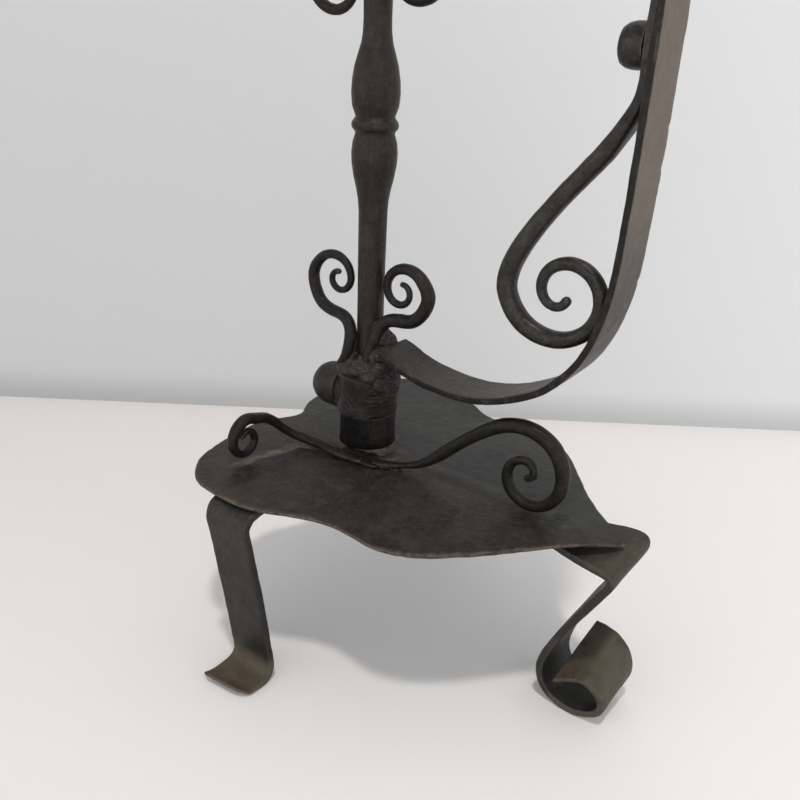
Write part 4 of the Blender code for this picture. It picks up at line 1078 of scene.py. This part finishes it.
def clamp_knob():
    """A domed knob on the hub's -X side, bored for the screw."""
    dome = KNOB_TIP - KNOB_R
    profile = [(28.5, 0.0), (28.5, 4.3), (HUB_R + GAP, 4.3), (HUB_R + GAP, KNOB_R - 0.9),
               (HUB_R + 1.3, KNOB_R), (dome, KNOB_R)]
    for a in np.radians(90.0 * np.arange(1, 12) / 12):
        profile.append((dome + KNOB_R * math.sin(a), KNOB_R * math.cos(a)))
    profile.append((KNOB_TIP, 0.0))
    knob = lathe(profile, count(112), step=0.6, round_off=0.4)
    piece("clamp_knob", lay_down(knob, -1, KNOB_Z), KNOB_IRON,
          planished(depth=0.22, cell=7.5, seed=141, grit=0.05, grit_size=2.5,
                    where=lambda points: smooth(-19.5, -22, points[:, 0])))


def clamp_screw():
    pitch, depth = 1.25, 0.35
    profile = ((10.45, 0.0), (10.45, 3.2), (11.25, 4.0), (28.2, 4.0), (28.2, 0.0))

    def thread(points, normals):
        x, y, z = points.T
        turn = np.arctan2(z - KNOB_Z, y) / (2 * math.pi)
        phase = (x / pitch + turn) % 1.0
        side = smooth(2.5, 3.4, np.hypot(y, z - KNOB_Z))
        return -depth * side * np.abs(phase - 0.5) * 2

    screw = lathe(profile, sides=48, step=0.5, round_off=0.3)
    piece("clamp_screw", lay_down(screw, -1, KNOB_Z), KNOB_IRON, thread,
          name="clamp_screw_thread")


swivel_hub()
clamp_knob()
clamp_screw()

# ----------------------------------------------------------------------- stem
STEM_PIN_R = 6.0                    # pins into the hub and through the collar
# height, radius of the visible stem with its turned knop
STEM_PROFILE = (
    (165.9, 8.5), (171, 8.1), (230, 8.15), (252, 8.35), (264, 8.55),
    (270, 8.95), (276, 9.95), (283, 11.6), (290, 12.8), (296, 13.15),
    (301.5, 12.6), (304.8, 11.6), (306.4, 11.1), (307.6, 11.7), (308.8, 12.9),
    (310.6, 13.3), (312.6, 12.8), (313.8, 11.7), (315.0, 11.0),
    (316.6, 11.6), (320.4, 13.0), (327, 13.6), (334, 13.25), (341, 12.1),
    (347, 10.3), (352, 8.75), (357, 7.95), (364, 7.7), (435.2, 7.7),
)
# height above the finial's foot, radius
FINIAL = (
    (0.0, 11.5), (2.4, 12.2), (4.6, 11.4), (7.0, 7.4), (9.4, 6.9),
    (13.0, 9.6), (18.5, 12.1), (24.0, 11.6), (29.0, 8.4), (33.0, 4.4),
    (35.5, 3.6), (38.0, 1.9), (38.6, 0.0),
)


def stem_relief(points, normals):
    z = points[:, 2]
    knop = smooth(268, 276, z) * smooth(350, 342, z)
    lift = dents(points * (1.6, 1.6, 0.55), depth=0.16, cell=8.5, seed=151)
    lift *= 1 - 0.35 * knop
    lift += 0.035 * fbm(points, size=2.6, seed=153) + 0.12 * noise(points, size=22, seed=155)
    turning = np.sin(z * 2 * math.pi / 2.3 + 0.6 * noise(points, size=9, seed=157))
    lift -= knop * 0.035 * np.maximum(0, turning)
    return lift * smooth(6.3, 7.2, off_axis(points))


def stem():
    foot, top = 158.8, COLLAR_TOP + 5.5
    profile = ((foot, 0.0), (foot, STEM_PIN_R), (STEM_PROFILE[0][0], STEM_PIN_R),
               *STEM_PROFILE, (STEM_PROFILE[-1][0], STEM_PIN_R), (top, STEM_PIN_R),
               (top, 0.0))
    piece("stem", lathe(profile, count(84), step=0.75, round_off=0.35), STEM_IRON,
          stem_relief)


def upper_collar():
    bore, bevel = STEM_PIN_R + GAP, 1.8
    profile = (
        (COLLAR_LOW, bore), (COLLAR_LOW, COLLAR_R - bevel), (COLLAR_LOW + bevel, COLLAR_R),
        (COLLAR_TOP - bevel, COLLAR_R), (COLLAR_TOP, COLLAR_R - bevel), (COLLAR_TOP, bore))
    piece("upper_collar", lathe(profile, count(120), step=0.6, round_off=0.5, closed=True),
          HUB_IRON,
          planished(depth=0.28, cell=8.5, seed=161, grit=0.05, grit_size=2.4,
                    where=lambda points: smooth(9, 12, off_axis(points))))


def finial():
    foot, bore = COLLAR_TOP + GAP, STEM_PIN_R + GAP
    profile = [(COLLAR_TOP + 6.2, 0.0), (COLLAR_TOP + 6.2, bore), (foot, bore)]
    profile += [(foot + z, r) for z, r in FINIAL]

    def outside(points):
        return smooth(6.6, 8, off_axis(points) + 4 * smooth(475, 480, points[:, 2]))

    piece("finial", lathe(profile, count(96), step=0.5, round_off=0.5), STEM_IRON,
          planished(depth=0.16, cell=7, seed=171, grit=0.04, grit_size=2.4,
                    where=outside))


stem()
upper_collar()
finial()

# --------------------------------------------------------------- stem scrolls
# Per side: the lead's x, y, z from the hub to the curl, the curl, its y, half
# sizes at LYRE_STATIONS, the seed step, and the height an upper scroll hangs from
LYRE_STATIONS = (0, 0.12, 0.3, 0.5, 0.72, 1.0)
LYRE = {
    "left": dict(
        lead=((-11.6, -12.2, 169.3), (-9.2, -11.9, 174), (-6.9, -11.1, 184),
              (-7.6, -9.6, 191.8), (-13.4, -7.4, 197.8), (-25.6, -5.8, 199.8),
              (-36.0, -4.9, 204.0)),
        curl=dict(centre=(-21.8, 219.8), start=180.0, turn=-1,
                  radii=(20.4, 14.4, 9.4, 6.1, 5.2, 4.9)),
        y=-4.5, half=(3.6, 3.7, 3.8, 3.6, 2.5, 1.8), seed_step=0, hang=602.0),
    "right": dict(
        lead=((4.3, -12.8, 169.3), (6.8, -11.3, 176.4), (9.5, -8.6, 188.0),
              (12.1, -5.2, 197.0), (16.6, -3.2, 201.5), (23.6, -1.2, 202.7),
              (32.2, 0.2, 204.2)),
        curl=dict(centre=(22.8, 219.2), start=0.0, turn=1,
                  radii=(18.6, 14.3, 11.1, 7.3, 5.3, 4.9)),
        y=1.0, half=(3.5, 3.6, 4.2, 4.1, 2.8, 1.7), seed_step=5, hang=606.0),
}


def lyre_scroll(level, side, seed):
    """An upper scroll is the lower one turned over, its foot under the collar."""
    shape = LYRE[side]
    lead, half, hang = shape["lead"], shape["half"], shape["hang"]
    hangs = level == "upper"
    if hangs:
        foot = hang - COLLAR_LOW + GAP + 0.9 * half[0]
        x, y, z = lead[0]
        inward = 13.0 / math.hypot(x, y)       # well under the collar
        lead = ((x * inward, y * inward, max(z, foot)),
                *(p for p in lead[1:] if p[2] > foot + 4.0))
    curl = upright(volute(**shape["curl"]), shape["y"])
    path = spline(np.concatenate([lead, curl]), count(250))
    radius = np.interp(np.linspace(0, 1, len(path)), LYRE_STATIONS, half)
    if hangs:
        path[:, 2] = hang - path[:, 2]
    forged_rod(f"{level}_scroll_{side}", path, (0.0, 1.0, 0.0), radius, radius,
               seed=seed + shape["seed_step"], sides=22, square=2.15, dent=0.20, cell=5.5)


for scroll_level, level_seed in (("lower", 181), ("upper", 191)):
    for scroll_side in LYRE:
        lyre_scroll(scroll_level, scroll_side, level_seed)

# ----------------------------------------------------------- arm and its brace
ARM_W, ARM_THICK = 30.0, 4.0
# x, z along the middle of the arm, from the hub up to the collar
ARM_PATH = (
    (16.2, 184.2), (22, 182.6), (31, 178.9), (42, 175.5), (55.5, 173.3),
    (68, 172.5), (80, 172.9), (90, 174.8), (102, 178.6), (113, 183.6),
    (124.5, 190.4), (133, 198.4), (141, 208.6), (147.2, 221), (151.8, 236.8),
    (154.3, 252), (155.4, 270), (156.0, 290), (156.4, 320), (156.4, 352),
    (156.2, 378), (153.2, 401), (144, 422), (128, 437), (108, 445),
    (84, 448), (50, 448.6), (17.8, 448.6),
)


def arm_relief(points, normals):
    y = points[:, 1]
    edge = smooth(11.5, 14.5, np.abs(y))
    lift = dents(points, depth=0.26, cell=15, seed=205)
    lift += dents(points, depth=0.07, cell=6, seed=209, level=0.5)
    lift += 0.04 * fbm(points, size=3.0, seed=213) + 0.22 * noise(points, size=40, seed=214)
    lift += edge * dents(points, depth=0.16, cell=5.5, seed=217, level=0.5)
    nick = smooth(0.55, 0.85, noise(points, size=6.0, seed=215)) * smooth(12.5, 14.8, y)
    return lift - 0.6 * nick


# Paler outer face high up: painted light where it faces the light, partly rubbed bare.
def lit_and_rubbed_outer_face(points, normals):
    return smooth(0.35, 0.8, normals[:, 0]) * smooth(192, 306, points[:, 2])


def shaded_edge_and_dark_parts(points, normals):
    """Painted shade on the -Y edge, which faces away from the light; darker also on the outer
    face low down and at the end by the hub.
    """
    low = 0.34 * smooth(0.35, 0.8, normals[:, 0]) * smooth(300, 225, points[:, 2])
    hub_end = 0.68 * smooth(74, 28, points[:, 0])
    return np.maximum(smooth(0.45, 0.8, -normals[:, 1]), np.maximum(low, hub_end))


def arm():
    line = spline(ARM_PATH, count(680))
    near, far = (upright(line, y) for y in (-ARM_W / 2, ARM_W / 2))
    near, far = wave(near, far, seed=201, size=0.22), wave(far, near, seed=203, size=0.5)
    bar = flat_bar(near, far, ARM_THICK / 2, radius=0.75, steps=(count(24), 4, 4),
                   end_radius=0.5)
    piece("arm", bar, ARM_IRON, arm_relief, worn=(0.12, 0.6),
          patch=lit_and_rubbed_outer_face, patch2=shaded_edge_and_dark_parts)


BRACE_FLAT_X = 151.7                # middle of the brace's flat end
# x, z from the flat end down to the curl
BRACE_LEAD = (
    (BRACE_FLAT_X, 384), (BRACE_FLAT_X, 366), (BRACE_FLAT_X, 348),
    (BRACE_FLAT_X - 0.4, 336.5), (146.8, 326.0), (134.8, 308.0),
    (119.6, 289.9), (105.2, 270.8), (95.5, 254.5),
)
# share of the length, half thickness, half width
BRACE_SECTION = (
    (0, 2.3, 10.2), (0.11, 2.4, 10.2), (0.16, 3.0, 8.2), (0.25, 4.8, 5.1),
    (0.38, 4.9, 4.9), (0.46, 5.4, 5.4), (0.60, 5.3, 5.3), (0.70, 4.3, 4.3),
    (0.81, 3.9, 3.9), (0.91, 3.2, 3.2), (0.97, 2.5, 2.6), (1.0, 2.8, 2.9),
)
BRACE_SQUARE = ((0, 7), (0.12, 7), (0.17, 4), (0.26, 2.3))    # share, squareness


def brace_scroll():
    curl = volute(centre=(120.5, 238.5), start=180.0, turn=1,
                  radii=(28.9, 23.5, 24.2, 16.0, 8.3, 6.2, 6.2), end=5.75)
    path = upright(spline(np.concatenate([BRACE_LEAD, curl]), count(400)), 0.0)
    run = run_length(path)
    run /= run[-1]
    share, thick, wide = np.transpose(BRACE_SECTION)
    forged_rod("brace_scroll", path, (0.0, 1.0, 0.0), np.interp(run, share, thick),
               np.interp(run, share, wide), seed=221, finish=BRACE_IRON, sides=40,
               square=np.interp(run, *np.transpose(BRACE_SQUARE)), dent=0.30, cell=10)


def brace_rivet():
    """Holds the brace's flat end to the arm, its head on the inner side."""
    tip, shank_r = 136.0, 3.5
    seat = BRACE_FLAT_X - 2.5 - 0.1
    profile = ((tip, 0.0), (tip + 0.3, 4.0), (tip + 1.6, 8.0), (tip + 4.0, 9.4),
               (tip + 6.6, 9.9), (seat, 9.9), (seat, shank_r), (157.0, shank_r),
               (157.2, 3.1), (157.3, 0.0))
    rivet = lathe(profile, count(84), step=0.5, round_off=0.5)
    piece("brace_rivet", lay_down(rivet, 1, 354.6), BRACE_IRON,
          planished(depth=0.22, cell=6.5, seed=231, grit=0.05, grit_size=2.2,
                    where=lambda points: smooth(149, 146, points[:, 0])))


arm()
brace_scroll()
brace_rivet()

# ------------------------------------------------------------------- welds
# Centre x, y, z and half sizes x, y, z of the ellipsoids that run together
ARM_WELD = (
    (9.0, -3.5, 166.5, 9.6, 13.6, 7.0), (12.5, 1.5, 168.0, 7.0, 11.5, 6.0),
    (14.0, -7.0, 170.8, 5.2, 7.2, 7.0), (13.4, 0.0, 175.0, 5.0, 10.5, 6.8),
    (12.4, -7.0, 177.5, 4.2, 6.4, 7.0), (16.8, -3.0, 174.6, 5.0, 10.4, 5.6),
    (17.0, -9.5, 181.6, 4.4, 5.6, 4.6), (11.4, 2.0, 183.0, 4.6, 8.0, 6.0),
    (14.4, -7.0, 163.0, 3.9, 6.5, 9.5), (16.2, 2.0, 160.5, 3.0, 8.5, 10.0),
    (6.0, -12.5, 170.0, 6.0, 5.0, 6.0), (9.4, -8.0, 178.0, 4.8, 4.6, 9.0),
    (11.0, -1.6, 188.6, 4.2, 5.6, 10.4), (13.6, 1.6, 185.4, 4.4, 5.8, 7.4),
    (9.0, -5.0, 190.0, 3.6, 3.6, 10.0),
)
SCROLL_WELD = (
    (-4.0, -8.5, 166.5, 13.6, 9.6, 6.2), (-7.2, -12.6, 168.0, 7.2, 5.0, 5.4),
    (0.5, -13.0, 168.0, 7.2, 5.2, 5.0), (-10.2, -11.4, 170.6, 4.0, 3.8, 5.4),
    (-5.0, -11.0, 171.0, 5.2, 4.2, 5.8), (1.6, -12.2, 171.4, 5.2, 4.2, 5.8),
    (4.4, -12.4, 174.0, 3.8, 3.6, 5.6), (-4.0, -15.2, 163.6, 8.5, 3.0, 3.0),
    (-5.2, -8.4, 180.0, 2.7, 2.7, 14.0), (-6.4, -9.4, 176.0, 3.2, 3.2, 8.0),
    (6.4, -8.0, 178.0, 2.9, 2.9, 12.0), (0.0, -10.0, 173.0, 6.0, 3.4, 5.0),
)
# where the two flattened scroll tails meet against the block
TAIL_WELD = (
    (20.5, -25.5, 116.6, 9.5, 4.0, 1.9), (12.0, -26.0, 116.3, 8.0, 4.4, 1.7),
    (3.0, -26.0, 116.0, 8.5, 4.6, 1.6), (28.5, -21.5, 116.4, 7.0, 4.0, 1.7),
    (12.0, -20.5, 116.3, 7.5, 4.5, 2.6), (18.5, -17.5, 116.2, 5.5, 4.5, 2.2),
    (2.0, -21.0, 116.2, 6.0, 3.6, 2.4), (36.0, -18.8, 116.0, 6.0, 3.4, 1.5),
    (-8.0, -25.6, 115.9, 7.0, 4.0, 1.4), (22.0, -24.0, 117.0, 5.0, 2.6, 1.9),
)


def weld(name, node, balls, finish, relief, voxel=0.45, **masks):
    """One closed skin over overlapping ellipsoids."""
    work = bmesh.new()
    for ball in balls:
        matrix = Matrix.Translation(ball[:3]) @ Matrix.Diagonal((*ball[3:], 1.0))
        bmesh.ops.create_icosphere(work, subdivisions=4, radius=1.0, matrix=matrix)
    raw = bpy.data.meshes.new(name + "_raw")
    work.to_mesh(raw)
    work.free()
    holder = new_object(name + "_raw", raw)
    remesh = holder.modifiers.new("skin", "REMESH")
    remesh.mode = "VOXEL"
    remesh.voxel_size = voxel
    ease = holder.modifiers.new("ease", "SMOOTH")
    ease.factor = 0.5
    ease.iterations = 16
    graph = bpy.context.evaluated_depsgraph_get()
    mesh = bpy.data.meshes.new_from_object(holder.evaluated_get(graph))
    bpy.data.objects.remove(holder, do_unlink=True)
    piece(node, mesh, finish, relief, name=name + "_bead", **masks)


def blistered(points, normals):
    return (0.22 * noise(points, size=6.5, seed=241)
            + blisters(points, height=0.75, seed=243))


def melted(points, normals):
    """Run-down grooves between the scroll legs, and one dent at the hub's brow."""
    x, y, z = points.T
    lift = 0.16 * noise(points, size=7.0, seed=251) + 0.05 * noise(points, size=2.6, seed=253)
    along = x * 0.798 + y * 0.602
    for foot, lean in ((-13.0, 0.13), (-6.4, 0.30)):
        groove = bell(along - foot - lean * (z - 172), 0.55)
        lift -= 0.55 * groove * smooth(169, 175, z)
    return lift - 0.9 * bell(x + 6.0, 6.5) * bell(z - 164.2, 1.3)


def melted_brown(points, normals):
    return (smooth(0.2, 0.7, noise(points, size=6, seed=255))
            * smooth(166, 170, points[:, 2]))


def run_together(points, normals):
    return 0.20 * noise(points, size=6, seed=271) + 0.05 * noise(points, size=2.5, seed=273)


weld("arm_weld", "arm_weld", ARM_WELD, WELD_IRON, blistered)
weld("scroll_weld", "scroll_weld", SCROLL_WELD, MELTED_IRON, melted, patch=melted_brown)
weld("tail_weld", "block_fillet", TAIL_WELD, BLOCK_IRON, run_together, voxel=0.4)


# ------------------------------------------------------------- room and light
# From here on sizes are metres in the row frame.
def paint(name, colour, dark, mottle, rough, painted_falloff, foot=1.0, one_sided=False):
    """Softly mottled paint. fade is its brightness toward -X and toward +X, a painted
    fall-off of the light; foot its brightness at the floor, a painted shadow along the foot;
    one_sided is clear when seen from behind."""
    material, graph, surface = new_material(name)
    at = graph.add("TexCoord", {}).outputs["Object"]
    cloud = graph.cloud(at, size=mottle, detail=5.0, roughness=0.5)
    mottled = graph.mix(cloud, dark, colour)
    axes = graph.add("SeparateXYZ", {0: at}).outputs
    # painted light: the brightness falls off across X
    side = graph.ramp(axes["X"], low=-0.62, high=0.30, start=painted_falloff[0], end=painted_falloff[1])
    # painted shadow along the foot of the wall
    painted_foot_shadow = graph.ramp(axes["Z"], low=0.0, high=0.040, start=foot, end=1.0)
    shaded = graph.add("VectorMath", {0: mottled, "Scale": graph.times(side, painted_foot_shadow)},
                       operation="SCALE").outputs[0]
    graph.tree.links.new(shaded, surface.inputs["Base Color"])
    surface.inputs["Roughness"].default_value = rough
    surface.inputs["Specular IOR Level"].default_value = 0.25
    if one_sided:
        behind = graph.add("NewGeometry", {}).outputs["Backfacing"]
        clear = graph.add("BsdfTransparent", {}).outputs[0]
        both = graph.add("MixShader", {0: behind, 1: surface.outputs[0], 2: clear})
        output = graph.tree.nodes["Material Output"]
        graph.tree.links.new(both.outputs[0], output.inputs["Surface"])
    return material


def sheet(name, corners, finish):
    mesh = bpy.data.meshes.new(name)
    mesh.from_pydata([tuple(c) for c in corners], [], [(0, 1, 2, 3)])
    mesh.materials.append(finish)
    new_object(name, mesh)


FLOOR_HALF = 6.0
WALL_REACH = 4.0                    # beyond each foot point, and up
# two points on the wall's foot, in working millimetres
WALL_FOOT = np.array([(-439.0, 40.0, 0.0), (131.0, 454.0, 0.0)])


def room():
    # The floor's brightness falls off across X, a painted fall-off of the light.
    sheet("floor", [(x * FLOOR_HALF, y * FLOOR_HALF, 0)
                    for x, y in ((-1, -1), (1, -1), (1, 1), (-1, 1))],
          paint("floor_board", colour=(0.79, 0.758, 0.748), dark=(0.765, 0.735, 0.724),
                mottle=0.35, rough=0.6, painted_falloff=(0.965, 1.13)))
    start, end = (WALL_FOOT + ORIGIN) / 1000
    reach = (end - start) / np.linalg.norm(end - start) * WALL_REACH
    start, end = start - reach, end + reach
    up = np.array([0, 0, WALL_REACH])
    # Its foot value paints a shadow along the wall's foot.
    # The wall's brightness falls off across X as painted light.
    sheet("wall", (start, end, end + up, start + up),
          paint("wall_paint", colour=(0.576, 0.568, 0.568), dark=(0.556, 0.550, 0.551),
                mottle=0.5, rough=0.7, painted_falloff=(0.90, 1.16), foot=0.74, one_sided=True))


def sky():
    """Cool surrounding light, dimmer toward the ceiling."""
    world = bpy.data.worlds.new("room")
    world.use_nodes = True
    graph = Graph(world.node_tree)
    background = world.node_tree.nodes["Background"].inputs
    background["Color"].default_value = (0.925, 0.975, 1.0, 1)
    direction = graph.add("TexCoord", {}).outputs["Generated"]
    height = graph.add("SeparateXYZ", {0: direction}).outputs["Z"]
    level = graph.ramp(height, low=0.22, high=0.78, start=2.07, end=0.28, kind="LINEAR")
    graph.tree.links.new(level, background["Strength"])
    bpy.context.scene.world = world


LAMP_AIM = Vector((0.0, 0.0, 0.15))


def lamp(name, direction, power, colour, size=0.20, distance=2.4):
    """A disk lamp set off from LAMP_AIM in a direction, facing it."""
    data = bpy.data.lights.new(name, "AREA")
    data.shape = "DISK"
    data.size = size
    data.energy = power
    data.color = colour
    place = LAMP_AIM + Vector(direction).normalized() * distance
    obj = new_object(name, data)
    obj.location = place
    obj.rotation_euler = (LAMP_AIM - place).to_track_quat("-Z", "Y").to_euler()


def camera():
    data = bpy.data.cameras.new("photo_camera")
    data.lens = 35.1
    data.sensor_width = 36.0
    data.clip_start = 0.01
    obj = new_object("photo_camera", data)
    forward = Vector((-0.53697, 0.73907, -0.40674)).normalized()
    right = Vector((0.79782, 0.60158, 0.03985))
    right = (right - forward * right.dot(forward)).normalized()
    pose = Matrix((right, right.cross(forward), -forward)).transposed().to_4x4()
    pose.translation = Vector((0.2263, -0.3567, 0.3478))
    obj.matrix_world = pose
    bpy.context.scene.camera = obj


room()
sky()
lamp("key", direction=(20.0, -30.0, 115.0), power=21.0, colour=(1.0, 0.945, 0.875))
lamp("second", direction=(-20.0, 30.0, 115.0), power=14.0, colour=(1.0, 0.965, 0.92))
bpy.context.scene.view_settings.view_transform = "Standard"
bpy.context.scene.view_settings.look = "None"
camera()
